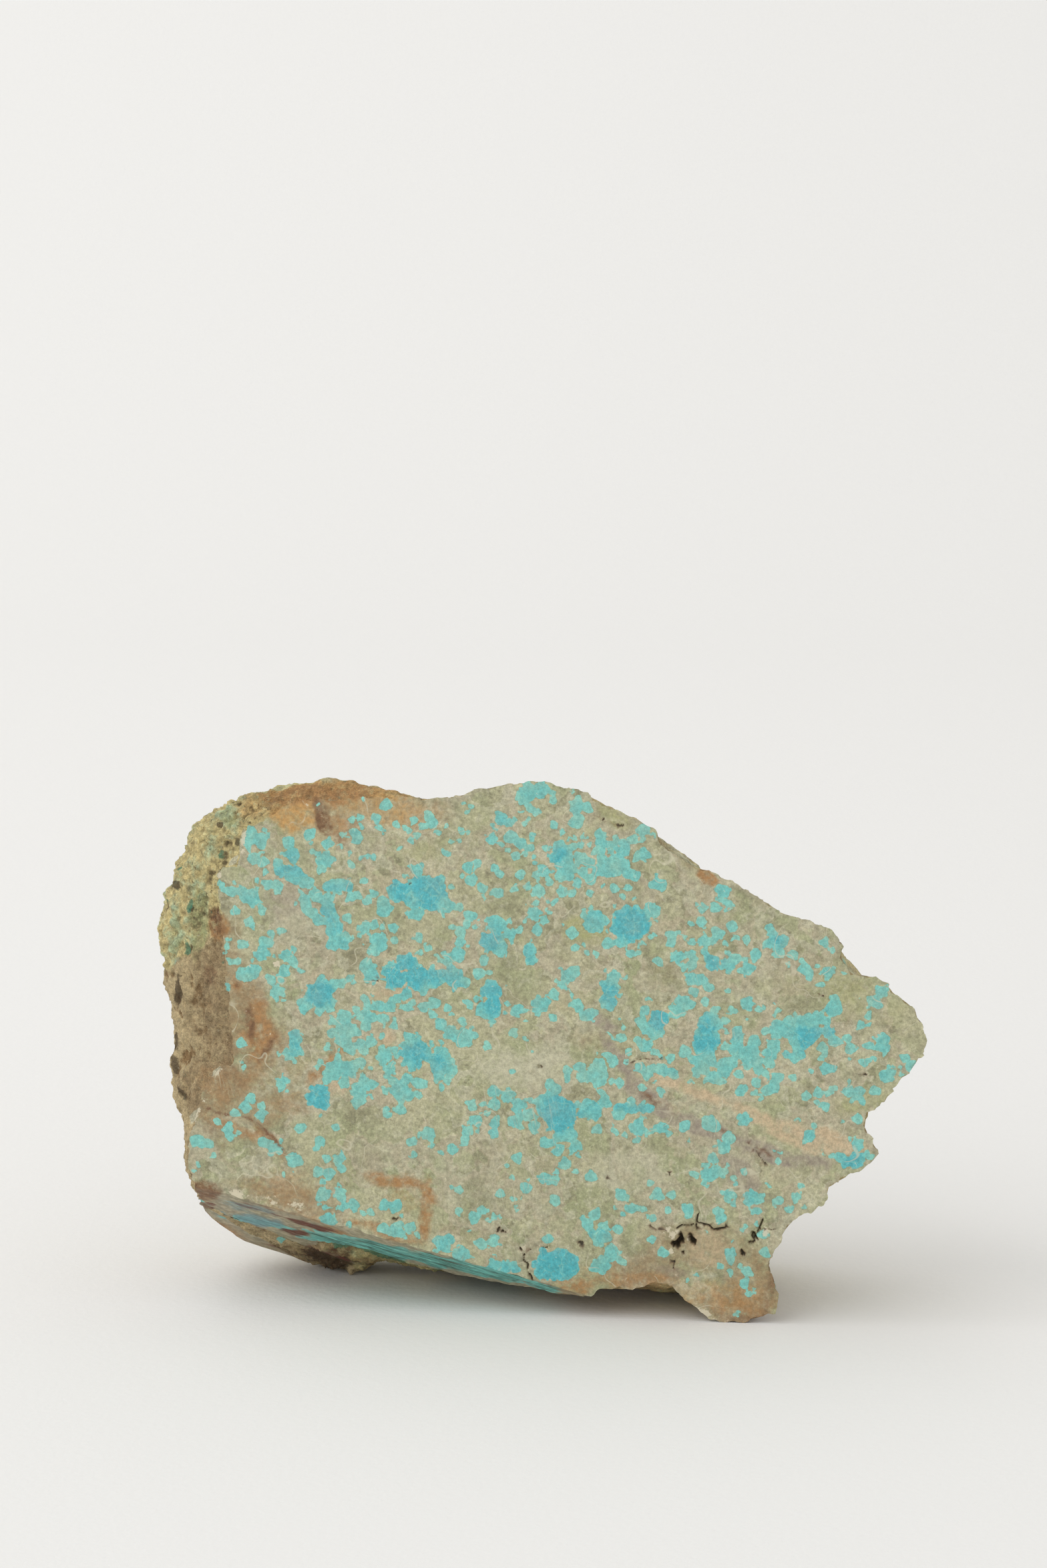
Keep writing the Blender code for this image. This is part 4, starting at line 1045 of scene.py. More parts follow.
    def sheet_points(self, plane: SawPlane, rim: np.ndarray) -> np.ndarray:
        """Plane points inside a rim, dense where markings need them.

        Args:
            plane: The cut.
            rim: Plane coordinates of its rim.

        Returns:
            Plane coordinates of the inner points.
        """
        low, high = rim.min(axis=0), rim.max(axis=0)
        pitch = self.SHEET_PITCH[plane.zone]
        columns = np.arange(low[0], high[0], pitch)
        rows = np.arange(low[1], high[1], pitch * math.sin(math.radians(60.0)))
        fill = np.stack(np.meshgrid(columns, rows), axis=-1)
        fill[1::2, :, 0] += 0.5 * pitch
        fill = fill.reshape(-1, 2) + self.rng.uniform(-0.25, 0.25, (fill.size // 2, 2)) * pitch
        details = [self.markings.detail_points()] if plane.zone is Zone.SAWN else []
        points = np.concatenate([*details, self.nodules.ring_points(plane), fill])
        return self.thinned(points[self.inside(points, rim)])

    def inside(self, points: np.ndarray, rim: np.ndarray) -> np.ndarray:
        """Which points lie within the rim, a margin away from it.

        Args:
            points: Plane coordinates.
            rim: Plane coordinates of the rim.

        Returns:
            One truth value a point.
        """
        within = np.zeros(len(points), dtype=bool)
        closed = np.concatenate([rim, rim[:1]])
        for start, end in zip(closed, closed[1:]):
            crosses = (start[1] > points[:, 1]) != (end[1] > points[:, 1])
            if end[1] != start[1]:
                meets = start[0] + (points[:, 1] - start[1]) * (end[0] - start[0]) / (end[1] - start[1])
                within ^= crosses & (points[:, 0] < meets)
        return within & (route_distance(points, closed) > self.RIM_MARGIN)

    def thinned(self, points: np.ndarray) -> np.ndarray:
        """Points with those too close to an earlier one left out.

        Args:
            points: Plane coordinates.

        Returns:
            Those that are kept.
        """
        taken: dict[tuple[int, int], list[np.ndarray]] = {}
        kept = []
        for point in points:
            cell = (int(point[0] // self.THINNEST), int(point[1] // self.THINNEST))
            near = [
                other
                for column in (-1, 0, 1) for row in (-1, 0, 1)
                for other in taken.get((cell[0] + column, cell[1] + row), ())
            ]
            gaps = ((point[0] - other[0]) ** 2 + (point[1] - other[1]) ** 2 for other in near)
            if all(gap > self.THINNEST ** 2 for gap in gaps):
                taken.setdefault(cell, []).append(point)
                kept.append(point)
        return np.array(kept)

    def lay_sheet(self, plane: SawPlane, rim: list[bmesh.types.BMVert]) -> None:
        """Triangulate one cut between its rim and its inner points, and press its hollows in.

        Args:
            plane: The cut.
            rim: Its rim, in order.
        """
        rim_flat = plane.flat(np.array([tuple(vert.co) for vert in rim]))
        inner = self.sheet_points(plane, rim_flat)
        flat = [Vector(point) for point in np.concatenate([rim_flat, inner])]
        border = [(index, (index + 1) % len(rim)) for index in range(len(rim))]
        found = geometry.delaunay_2d_cdt(flat, border, [], 1, 1e-6)
        corners = rim + [self.shape.verts.new(point) for point in self.pressed(plane, inner)]
        lookup = [corners[sources[0]] if sources else None for sources in found[3]]
        for triangle in found[2]:
            verts = [lookup[corner] for corner in triangle]
            if None in verts:
                continue
            face = self.shape.faces.new(verts)
            face[self.zone_layer] = plane.zone.value
            face.normal_update()
            if face.normal.dot(plane.normal) < 0.0:
                face.normal_flip()

    def pressed(self, plane: SawPlane, flat: np.ndarray) -> np.ndarray:
        """World points of a cut's inner points, with cracks, pits and saw marks pressed in.

        Args:
            plane: The cut.
            flat: Plane coordinates.

        Returns:
            Rows of x, y, z.
        """
        points = plane.solid(flat)
        depth = self.WAVES * noise_at(points, 2.5)
        if plane.zone is Zone.SAWN:
            depth += self.markings.hollows(points, flat)[1]
        else:
            grooves = np.array([noise.noise(Vector((a / 9.0, b / 0.7, 4.0))) for a, b in flat.tolist()])
            depth += self.GROOVES * np.abs(grooves)
        return points - depth[:, None] * np.array(plane.normal)

    def to_object(self) -> bpy.types.Object:
        """Make the object, with its attributes.

        Returns:
            The object.
        """
        self.shape.normal_update()
        for edge in self.shape.edges:
            edge.smooth = len({face[self.zone_layer] for face in edge.link_faces}) < 2
        for face in self.shape.faces:
            face.smooth = True
            face.material_index = face[self.zone_layer]
        points = np.array([tuple(vert.co) for vert in self.shape.verts])
        normals = np.array([tuple(vert.normal) for vert in self.shape.verts])
        zones = [{face[self.zone_layer] for face in vert.link_faces} for vert in self.shape.verts]
        sawn = np.array([Zone.SAWN.value in found for found in zones])
        rims = self.rim_distance(points, np.array([found != {Zone.RIND.value} for found in zones]))
        bmesh.ops.scale(self.shape, vec=Vector((MM, MM, MM)), verts=self.shape.verts)
        mesh = bpy.data.meshes.new(NODE)
        self.shape.to_mesh(mesh)
        self.shape.free()
        values = {**self.sawn_readings(points, normals, sawn), **self.rind_readings(points, rims)}
        for name, value in values.items():
            layer = mesh.attributes.new(name, "FLOAT", "POINT")
            layer.data.foreach_set("value", value.astype(np.float32))
        return in_scene("turquoise_stone", mesh)

    def rim_distance(self, points: np.ndarray, cut: np.ndarray) -> np.ndarray:
        """Distance of every point from the nearest sawn one.

        Args:
            points: Rows of x, y, z.
            cut: Which of them lie on a saw cut.

        Returns:
            Distances.
        """
        tree = kdtree.KDTree(int(cut.sum()))
        for index, point in enumerate(points[cut]):
            tree.insert(point, index)
        tree.balance()
        return np.array([0.0 if on_cut else tree.find(point)[2] for point, on_cut in zip(points, cut)])

    def sawn_readings(
        self, points: np.ndarray, normals: np.ndarray, sawn: np.ndarray
    ) -> dict[str, np.ndarray]:
        """Point attributes of the placed markings.

        Args:
            points: Rows of x, y, z.
            normals: Their normals.
            sawn: Which of them lie on the sawn face.

        Returns:
            Values by attribute name.
        """
        face = self.planes[0]
        depth, tint = self.nodules.depth_inside(points)
        hollows, _ = self.markings.hollows(points, face.flat(points))
        values = {"nodule": depth, "tint": tint, **self.markings.stains(points, normals)}
        values.update({name: np.where(sawn, strength, 0.0) for name, strength in hollows.items()})
        values["deep"] = self.markings.deep(points) * (points[:, 1] - face.point.y < 3.0)
        return values

    def rind_readings(self, points: np.ndarray, rims: np.ndarray) -> dict[str, np.ndarray]:
        """Point attributes that say where the rind is open, granular and fibrous.

        Args:
            points: Rows of x, y, z.
            rims: Their distance from the sawn edges.

        Returns:
            Values by attribute name.
        """
        back = points[:, 1] - self.planes[0].point.y
        along = points[:, 0] - self.cad_left
        stray = 16.0 * noise_at(points, 13.0, 2.0) + 6.0 * noise_at(points, 4.0, 6.0)
        upper = smooth_step(-3.0, 3.0, points[:, 2] - 53.0 - 0.8 * np.minimum(along, 14.0) + 0.5 * stray)
        away = np.maximum(back - 4.0, 0.7 * along)
        near = 1.0 - smooth_step(9.0, 22.0, away + stray * smooth_step(2.0, 9.0, back))
        below = (1.0 - smooth_step(9.0, 13.0, points[:, 2])) * (back > 0.5)
        return {
            "open_rind": smooth_step(0.0, 1.1, rims) * smooth_step(0.0, 1.2, points[:, 2]),
            "granular": np.maximum(upper * near, 0.6 * below),
            "fibrous": (1.0 - upper) * near,
        }


Tone = tuple[float, float, float, float]


def tone(*channels: int) -> Tone:
    """A display colour, red, green and blue from 0 to 255, as a linear one with full alpha."""
    shares = [channel / 255.0 for channel in channels]
    linear = (share / 12.92 if share <= 0.04045 else ((share + 0.055) / 1.055) ** 2.4 for share in shares)
    return (*linear, 1.0)


def grey(level: float) -> Tone:
    """A linear grey."""
    return level, level, level, 1.0


def operator(kind: str, swapped: bool = False) -> Callable[["Value", Any], "Value"]:
    """A Math node as an operator of two numbers, or as the reflected one.

    Args:
        kind: The node's operation.
        swapped: Whether it is the reflected one.

    Returns:
        The operator.
    """
    def combine(one: "Value", other: Any) -> "Value":
        """The result for two numbers."""
        return one.maths(kind, other, one) if swapped else one.maths(kind, one, other)
    return combine


class Value:
    """A number in a node tree that takes part in Python arithmetic."""

    def __init__(self, graph: "Graph", socket: bpy.types.NodeSocket) -> None:
        """Wrap a socket of a graph."""
        self.graph = graph
        self.socket = socket

    def maths(self, operation: str, first: Any, second: Any = 0.0) -> "Value":
        """Add a Math node with these inputs."""
        node = self.graph.node("ShaderNodeMath", {"operation": operation}, {0: first, 1: second})
        return Value(self.graph, node.outputs[0])

    __add__, __radd__ = operator("ADD"), operator("ADD", True)
    __sub__, __rsub__ = operator("SUBTRACT"), operator("SUBTRACT", True)
    __mul__, __rmul__ = operator("MULTIPLY"), operator("MULTIPLY", True)
    __rtruediv__ = operator("DIVIDE", True)

    def __abs__(self) -> "Value":
        """This without its sign."""
        return self.maths("ABSOLUTE", self)

    def highest(self, other: Any) -> "Value":
        """The larger of this and another."""
        return self.maths("MAXIMUM", self, other)

    def smooth(self, low: float, high: float) -> "Value":
        """Smooth step of this.

        Args:
            low: Where it is 0.
            high: Where it is 1.

        Returns:
            The step.
        """
        sockets = {"Value": self, "From Min": low, "From Max": high}
        node = self.graph.node("ShaderNodeMapRange", {"interpolation_type": "SMOOTHSTEP"}, sockets)
        return Value(self.graph, node.outputs[0])


@dataclass
class Graph:
    """A node tree that is being built."""

    tree: bpy.types.NodeTree

    def node(
        self, kind: str, settings: dict[str, Any] | None = None, sockets: dict[str | int, Any] | None = None
    ) -> bpy.types.Node:
        """Add a node.

        Args:
            kind: The node's type.
            settings: Its settings, which are set first.
            sockets: Values or links of its inputs, by name or number.

        Returns:
            The node.
        """
        made = self.tree.nodes.new(kind)
        for name, setting in (settings or {}).items():
            setattr(made, name, setting)
        for key, value in (sockets or {}).items():
            source = value.socket if isinstance(value, Value) else value
            if isinstance(source, bpy.types.NodeSocket):
                self.tree.links.new(source, made.inputs[key])
            else:
                made.inputs[key].default_value = source
        return made

    def value(self, kind: str, settings: dict[str, Any], output: str | int = 0) -> Value:
        """One output of a new node without inputs, as a number."""
        return Value(self, self.node(kind, settings).outputs[output])

    def vector(self, operation: str, first: Any, second: Any) -> bpy.types.NodeSocket:
        """The result of a new Vector Math node."""
        return self.node("ShaderNodeVectorMath", {"operation": operation}, {0: first, 1: second}).outputs[0]

    def millimetres(self, place: bpy.types.NodeSocket) -> bpy.types.NodeSocket:
        """A place in metres, in millimetres."""
        return self.vector("MULTIPLY", place, (1.0 / MM, 1.0 / MM, 1.0 / MM))

    def along(self, place: Any, direction: Vector) -> Value:
        """How far places lie along a direction."""
        node = self.node("ShaderNodeVectorMath", {"operation": "DOT_PRODUCT"}, {0: place, 1: tuple(direction)})
        return Value(self, node.outputs["Value"])

    def joined(self, *parts: Any) -> bpy.types.NodeSocket:
        """Three numbers as a vector."""
        return self.node("ShaderNodeCombineXYZ", None, dict(enumerate(parts))).outputs[0]

    def noise(
        self, place: Any, size: Any, detail: float = 3.0, shift: float = 0.0, rough: float = 0.55
    ) -> Value:
        """Add a noise.

        Args:
            place: Where it is read.
            size: Spacing, in the units of the place.
            detail: Number of finer layers.
            shift: Picks an independent pattern.
            rough: Strength of the finer layers.

        Returns:
            The noise, from 0 to 1 with its middle at 0.5.
        """
        node = self.node(
            "ShaderNodeTexNoise", {"noise_dimensions": "4D"},
            {"Vector": place, "W": shift, "Scale": 1.0 / size, "Detail": detail, "Roughness": rough},
        )
        return Value(self, node.outputs[0])

    def cells(self, place: Any, size: Any, feature: str = "F1") -> tuple[Value, bpy.types.NodeSocket]:
        """Add a Voronoi pattern.

        Args:
            place: Where it is read.
            size: Size of a cell.
            feature: Which distance is wanted.

        Returns:
            The distance, and the cells' colour.
        """
        node = self.node("ShaderNodeTexVoronoi", {"feature": feature}, {"Vector": place, "Scale": 1.0 / size})
        return Value(self, node.outputs[0]), node.outputs[1]

    def blend(self, share: Any, below: Any, above: Any, kind: str = "MIX") -> bpy.types.NodeSocket:
        """Blend a share of one colour over another."""
        sockets = {0: share, 6: below, 7: above}
        return self.node("ShaderNodeMix", {"data_type": "RGBA", "blend_type": kind}, sockets).outputs[2]


def make_finish(
    name: str, dress: Callable[[Graph, bpy.types.NodeSocket], tuple[dict, dict]]
) -> bpy.types.Material:
    """Make a material.

    Args:
        name: Its name.
        dress: Gives the sockets of its surface and of its bump, from the graph and the object's coordinates.

    Returns:
        The material.
    """
    material = bpy.data.materials.new(name)
    material.use_nodes = True
    material.node_tree.nodes.clear()
    graph = Graph(material.node_tree)
    surface, bump = dress(graph, graph.node("ShaderNodeTexCoord").outputs["Object"])
    normal = graph.node("ShaderNodeBump", None, {"Distance": MM, **bump}).outputs[0]
    shader = graph.node("ShaderNodeBsdfPrincipled", None, {**surface, "Normal": normal})
    graph.node("ShaderNodeOutputMaterial", None, {"Surface": shader.outputs[0]})
    return material


@dataclass
class Coat:
    """The colour of a surface, which is laid in layers."""

    graph: Graph
    place: bpy.types.NodeSocket
    colour: Any = None

    def start(self, colour: Any) -> "Coat":
        """Another coat at the same places."""
        return Coat(self.graph, self.place, colour)

    def lay(self, share: Any, colour: Any) -> None:
        """Lay a share of a colour, or of another coat, over this one."""
        above = colour.colour if isinstance(colour, Coat) else colour
        self.colour = self.graph.blend(share, self.colour, above)

    def grain(self, pattern: Value, depth: float) -> None:
        """Darken and lighten by a fine pattern, which goes from 0 to 1, by this much at most."""
        shades = self.graph.blend(pattern.smooth(0.3, 0.7), grey(1.0 - depth), grey(1.0 + 0.6 * depth))
        self.colour = self.graph.blend(1.0, self.colour, shades, "MULTIPLY")

    def noise(self, size: float, detail: float = 3.0, shift: float = 0.0, rough: float = 0.55) -> Value:
        """Noise at the places, as Graph.noise has it."""
        return self.graph.noise(self.place, size, detail, shift, rough)

    def reading(self, name: str | Stain) -> Value:
        """A point attribute of the stone, by its name or its kind."""
        name = name if isinstance(name, str) else name.value
        return self.graph.value("ShaderNodeAttribute", {"attribute_name": name}, "Fac")


STAIN_TONES = {
    Stain.PALE: tone(200, 196, 168),
    Stain.MOSS: tone(172, 172, 122),
    Stain.EARTH: tone(162, 140, 105),
    Stain.MAUVE: tone(160, 148, 133),
    Stain.PEACH: tone(206, 184, 150),
    Stain.GOLD: tone(198, 156, 98),
    Stain.RUST: tone(174, 132, 86),
    # Brown spots, and painted shade low down
    Stain.UMBER: tone(124, 92, 66),
}


@dataclass(frozen=True)
class StoneFinish:
    """What the finishes of the stone share."""

    name: str
    tan: Tone = tone(192, 188, 153)
    olive: Tone = tone(171, 174, 134)
    drab: Tone = tone(148, 144, 114)
    rose: Tone = tone(190, 176, 150)
    pale_blue: Tone = tone(147, 210, 194)
    mid_blue: Tone = tone(122, 199, 192)
    deep_blue: Tone = tone(86, 184, 192)
    # Pale veils and veins of the rock; on the rind also painted highlights along lit edges
    veil_and_highlight: Tone = tone(208, 204, 176)
    gloss: float = 0.35

    def build(self) -> bpy.types.Material:
        """Make the material."""
        return make_finish(self.name, self.sockets)

    def sockets(self, graph: Graph, place: bpy.types.NodeSocket) -> tuple[dict, dict]:
        """Sockets of the surface and of its bump.

        Args:
            graph: The material's graph.
            place: Object coordinates.

        Returns:
            Both, by name.
        """
        coat = Coat(graph, graph.millimetres(place))
        roughness, height = self.dress(coat)
        surface = {"Base Color": coat.colour, "Roughness": roughness, "Specular IOR Level": self.gloss}
        return surface, {"Strength": 1.0, "Height": height}

    def dress(self, coat: Coat) -> tuple[Value, Value]:
        """Lay the finish's own colours, and give its roughness and its height in millimetres."""
        raise NotImplementedError

    def matrix(self, coat: Coat) -> Coat:
        """Mottled tone of the host rock.

        Args:
            coat: Any coat at the places.

        Returns:
            A coat of the rock alone.
        """
        rock = coat.start(self.tan)
        rock.lay(rock.noise(9.0, 4.0, 1.0).smooth(0.36, 0.64), self.olive)
        rock.lay(rock.noise(8.0, 5.0, 2.0, 0.6).smooth(0.5, 0.72) * 0.8, self.drab)
        rock.lay(rock.noise(6.0, 5.0, 3.0, 0.6).smooth(0.52, 0.74) * 0.7, self.rose)
        freckled = rock.noise(7.0, 3.0, 11.0).smooth(0.42, 0.62)
        rock.lay(rock.noise(1.1, 4.0, 10.0, 0.7).smooth(0.54, 0.68) * (freckled * 0.7 + 0.15), self.drab)
        web = abs(rock.noise(5.0, 4.0, 64.0, 0.6) - 0.5).smooth(0.012, 0.002)
        rock.lay(web * freckled * 0.55, self.drab)
        for shade, shift, strength in ((self.drab, 61.0, 0.7), (self.veil_and_highlight, 62.0, 0.5), (self.rose, 63.0, 0.5)):
            wash = rock.noise(8.0, 6.0, shift, 0.55)
            rock.lay(wash.smooth(0.5, 0.515) * wash.smooth(0.62, 0.51) * strength, shade)
        level = rock.noise(10.0, 4.0, 7.0, 0.5)
        vein = level.smooth(0.497, 0.503) * level.smooth(0.55, 0.5)
        rock.lay(vein * rock.noise(7.0, 2.0, 9.0).smooth(0.45, 0.6) * 0.6, self.veil_and_highlight)
        rock.lay(rock.noise(1.6, 5.0, 8.0, 0.65).smooth(0.5, 0.66) * 0.5, self.veil_and_highlight)
        rock.grain(rock.noise(0.7, 4.0, 8.0, 0.8), 0.22)
        return rock

    def stain(self, coat: Coat, ragged: Value) -> None:
        """Lay the placed stains; the umber ones are partly painted shade low down.

        Args:
            coat: The coat to lay them on.
            ragged: A noise that breaks the stains' borders.
        """
        patchy = coat.noise(1.3, 5.0, 6.0, 0.65).smooth(0.2, 0.62)
        for kind, shade in STAIN_TONES.items():
            coat.lay((coat.reading(kind) * 1.25 + ragged * 0.5 - 0.4).smooth(0.0, 0.8) * patchy, shade)

    def turquoise(self, coat: Coat, inside: Value) -> Coat:
        """Tone of the turquoise, paler at the rims and along the joints of its cells.

        Args:
            coat: Any coat at the places.
            inside: Depth inside a nodule.

        Returns:
            A coat of turquoise alone.
        """
        mottle = coat.noise(1.5, 4.0, 9.0)
        tint = coat.reading("tint") * 0.8 + coat.reading("deep") * 0.45 + mottle * 0.5 - 0.25
        blue = coat.start(self.pale_blue)
        blue.lay(tint.smooth(-0.1, 0.45), self.mid_blue)
        blue.lay(tint.smooth(0.45, 1.05), self.deep_blue)
        blue.lay(inside.smooth(0.16, 0.0) * 0.35, self.pale_blue)
        joints, _ = coat.graph.cells(coat.place, 1.5, "DISTANCE_TO_EDGE")
        blue.lay(joints.smooth(0.08, 0.0) * mottle.smooth(0.45, 0.6) * 0.55, self.pale_blue)
        fine = coat.noise(0.35, 3.0, 12.0)
        blue.lay(fine.smooth(0.5, 0.75) * 0.4, self.pale_blue)
        blue.lay(fine.smooth(0.45, 0.25) * 0.25, self.deep_blue)
        return blue


@dataclass(frozen=True)
class SawnFinish(StoneFinish):
    """The sawn face: smooth stone with nodules, hairlines, saw marks, and cracks and pits darkened partly by
    their own fill and partly by painted shade.
    """

    name: str = "sawn_turquoise_matrix"
    hairline: Tone = tone(214, 208, 180)
    # Chalky white of the crust, also painted highlight along lit edges
    chalk_and_highlight: Tone = tone(220, 210, 184)
    # Brown of the seam, also painted shade at the edges of cracks and pits
    seam_and_crack_shade: Tone = tone(120, 84, 62)
    # Near-black in cracks and pits: partly their own dark fill, partly painted shade
    dark: Tone = tone(38, 34, 24)
    border: Tone = tone(128, 132, 96)

    def dress(self, coat: Coat) -> tuple[Value, Value]:
        """Lay the colours.

        Args:
            coat: The coat.

        Returns:
            Roughness, and height in millimetres.
        """
        ragged, grit = coat.noise(0.8, 4.0, 4.0), coat.noise(0.5, 4.0, 5.0, 0.75)
        coat.colour = self.matrix(coat).colour
        self.stain(coat, ragged)
        inside = coat.reading("nodule") + (ragged - 0.5) * 0.35 + (grit - 0.5) * 0.1
        coat.lay(inside.smooth(-0.75, 0.0) * 0.14, self.hairline)
        coat.lay(inside.smooth(-0.14, -0.02) * ragged.smooth(0.42, 0.6) * 0.45, self.border)
        body = inside.smooth(-0.03, 0.05)
        clear = 0.8 + coat.noise(3.0, 3.0, 13.0).smooth(0.3, 0.6) * 0.2
        coat.lay(body * clear, self.turquoise(coat, inside))
        coat.grain(grit, 0.28)
        lines = self.hairlines(coat)
        coat.lay(lines * 0.55, self.hairline)
        coat.lay(coat.reading("seam") * ragged.smooth(0.35, 0.6), self.seam_and_crack_shade)
        # White crust at the pits, and painted highlights along lit edges
        crust = (coat.reading(Stain.CRUST) + ragged * 1.8 + grit * 2.0 - 2.0).smooth(0.3, 0.6)
        coat.lay(crust * 0.85, self.chalk_and_highlight)
        # Cracks and pits: brown edges and a dark core, partly their own dark fill and partly painted shade
        hollow = coat.reading("crack").highest(coat.reading("hollow"))
        coat.lay(hollow.smooth(0.05, 0.6) * 0.5, self.seam_and_crack_shade)
        coat.lay(hollow.smooth(0.3, 1.0) * 0.85, self.dark)
        return 0.52 + grit * 0.2 - body * 0.08, body * 0.02 + grit * 0.05 + ragged * 0.05 - lines * 0.03

    def hairlines(self, coat: Coat) -> Value:
        """Thin pale lines: healed joints that wander, and short scratches.

        Args:
            coat: Any coat at the places.

        Returns:
            Their strength.
        """
        graph = coat.graph
        joint = abs(coat.noise(10.0, 2.0, 14.0) - 0.5).smooth(0.006, 0.001)
        sawn = coat.reading(Stain.SAW).highest(coat.noise(9.0, 2.0, 16.0).smooth(0.56, 0.7) * 0.5)
        lines = joint * coat.noise(5.0, 2.0, 18.0).smooth(0.5, 0.58)
        for lean, fine, shift in ((0.17, 3.4, 15.0), (0.25, 6.0, 17.0), (-1.0, 4.0, 19.0)):
            aside = graph.along(coat.place, Vector((1.0, 0.0, lean)).normalized() * fine)
            length = graph.along(coat.place, Vector((-lean, 0.0, 1.0)).normalized() * 0.12)
            scratch = graph.noise(graph.joined(aside, 0.0, length), 1.0, 1.0, shift).smooth(0.62, 0.74)
            lines = lines.highest(scratch * sawn * (1.0 if lean > 0.0 else 0.3))
        return lines


@dataclass(frozen=True)
class RindFinish(StoneFinish):
    """The natural rind: granular and olive above, fibrous and brown below, tan behind; painted shade in its
    recesses and painted highlights on its raised tips.
    """

    name: str = "turquoise_rind"
    straw: Tone = tone(216, 199, 142)
    # Pale green of the granules, laid on their raised tips: partly their own colour, partly painted highlight
    granule: Tone = tone(192, 216, 178)
    bark: Tone = tone(146, 118, 80)
    # Pale fibre colour, also painted highlight on the raised ridges
    fibre_and_ridge_highlight: Tone = tone(204, 184, 142)
    # Dark brown patches, and painted shade in the rind's recesses and between its granules
    dark_patch_and_shade: Tone = tone(70, 54, 34)
    cleft: Tone = tone(70, 130, 104)
    hidden_size: float = 4.2

    def dress(self, coat: Coat) -> tuple[Value, Value]:
        """Lay the colours.

        Args:
            coat: The coat.

        Returns:
            Roughness, and height in millimetres.
        """
        graph = coat.graph
        ragged, grit = coat.noise(0.9, 5.0, 4.0, 0.65), coat.noise(0.25, 3.0, 5.0, 0.7)
        # Height of the relief: it steers the painted shade in the hollows and the painted highlights on the
        # tips
        raised = coat.reading("relief") + ragged * 0.5
        coat.colour = self.matrix(coat).colour
        crust = coat.start(self.bark)
        crust.lay(coat.noise(9.0, 6.0, 21.0, 0.65).smooth(0.22, 0.66), self.straw)
        crusted = coat.noise(11.0, 5.0, 22.0, 0.6).smooth(0.36, 0.54) * 0.85
        coat.lay(crusted, crust)
        granular = (coat.reading("granular") + ragged * 0.6 - 0.3).smooth(0.2, 0.8)
        coat.lay(granular, self.straw)
        green = (coat.reading(Stain.MOSS) * 0.5 + coat.noise(3.0, 4.0, 24.0, 0.65)).smooth(0.46, 0.7)
        # Pale green on the raised granule tips: partly their own colour, partly painted highlight
        coat.lay(granular * green * raised.smooth(0.6, 1.0) * 0.85, self.granule)
        fibrous = (coat.reading("fibrous") + ragged * 0.6 - 0.3).smooth(0.2, 0.8)
        coat.lay(fibrous, self.bark)
        # Painted highlight on the tops of the fibrous ridges
        coat.lay(fibrous * raised.smooth(0.75, 1.05) * 0.9, self.fibre_and_ridge_highlight)
        self.stain(coat, ragged)
        specks, cloudy = coat.noise(0.7, 3.0, 25.0, 0.6), coat.noise(1.6, 5.0, 26.0, 0.7)
        beads, _ = graph.cells(graph.vector("ADD", coat.place, graph.joined(ragged, ragged, ragged)), 0.95)
        rough = (crusted * 0.7).highest(granular).highest(fibrous * 0.4)
        coat.lay(cloudy.smooth(0.52, 0.72) * rough * 0.5, self.dark_patch_and_shade)
        coat.lay(cloudy.smooth(0.46, 0.3) * rough * 0.4, self.fibre_and_ridge_highlight)
        # Painted shade between the granules
        coat.lay(beads.smooth(0.45, 0.85) * rough * 0.3, self.dark_patch_and_shade)
        # Pale green at the granules' middles: partly their own colour, partly painted highlight
        coat.lay(beads.smooth(0.3, 0.1) * cloudy.smooth(0.55, 0.35) * granular * 0.5, self.granule)
        # Painted shade where the relief is low, with real dark specks, and at the streak spots
        low = raised.smooth(0.7, 0.35).highest(specks.smooth(0.6, 0.7) * rough * 0.8)
        # On the rind the streak spots are painted shade: the knob underneath and the hollows along the left
        # edge
        streaks = (coat.reading(Stain.STREAK) + ragged * 1.6 + cloudy * 2.2 - 2.1).smooth(0.1, 0.6)
        coat.lay(low.highest(streaks) * 0.8, self.dark_patch_and_shade)
        coat.lay(specks.smooth(0.36, 0.26) * rough * 0.7, self.veil_and_highlight)
        teal = coat.reading(Stain.TEAL) * (1.0 - fibrous)
        coat.lay((teal + ragged * 1.6 + cloudy * 2.0 - 2.0).smooth(0.1, 0.5) * 0.8, self.cleft)
        # Pale crust, and painted highlights along the rind's lit edges
        coat.lay((coat.reading(Stain.CRUST) + ragged * 0.8 - 0.6).smooth(0.1, 0.5) * 0.8, self.veil_and_highlight)
        coat.grain(ragged, 0.3)
        coat.grain(grit, 0.3)
        self.lay_nodules(coat, ragged, (1.0 - granular) * (1.0 - fibrous))
        return 0.72 + grit * 0.2, grit * 0.2 + ragged * 0.45 - beads * rough * 0.36

    def lay_nodules(self, coat: Coat, ragged: Value, plain: Value) -> None:
        """Lay the placed nodules, and a few stray ones where the rind is plain.

        Args:
            coat: The coat.
            ragged: A noise that breaks their borders.
            plain: Where the rind is neither granular nor fibrous.
        """
        inside = coat.reading("nodule") + (ragged - 0.5) * 0.35
        distance, chance = coat.graph.cells(coat.place, self.hidden_size)
        size = coat.graph.along(chance, Vector((0.4, 0.0, 0.0)))
        hidden = (size - distance + (ragged - 0.5) * 0.35) * self.hidden_size
        stray = hidden.smooth(0.0, 0.2) * coat.noise(8.0, 3.0, 23.0).smooth(0.5, 0.6) * plain
        spots = inside.smooth(-0.02, 0.1).highest(stray)
        coat.lay(spots * 0.85, self.turquoise(coat, inside.highest(hidden)))


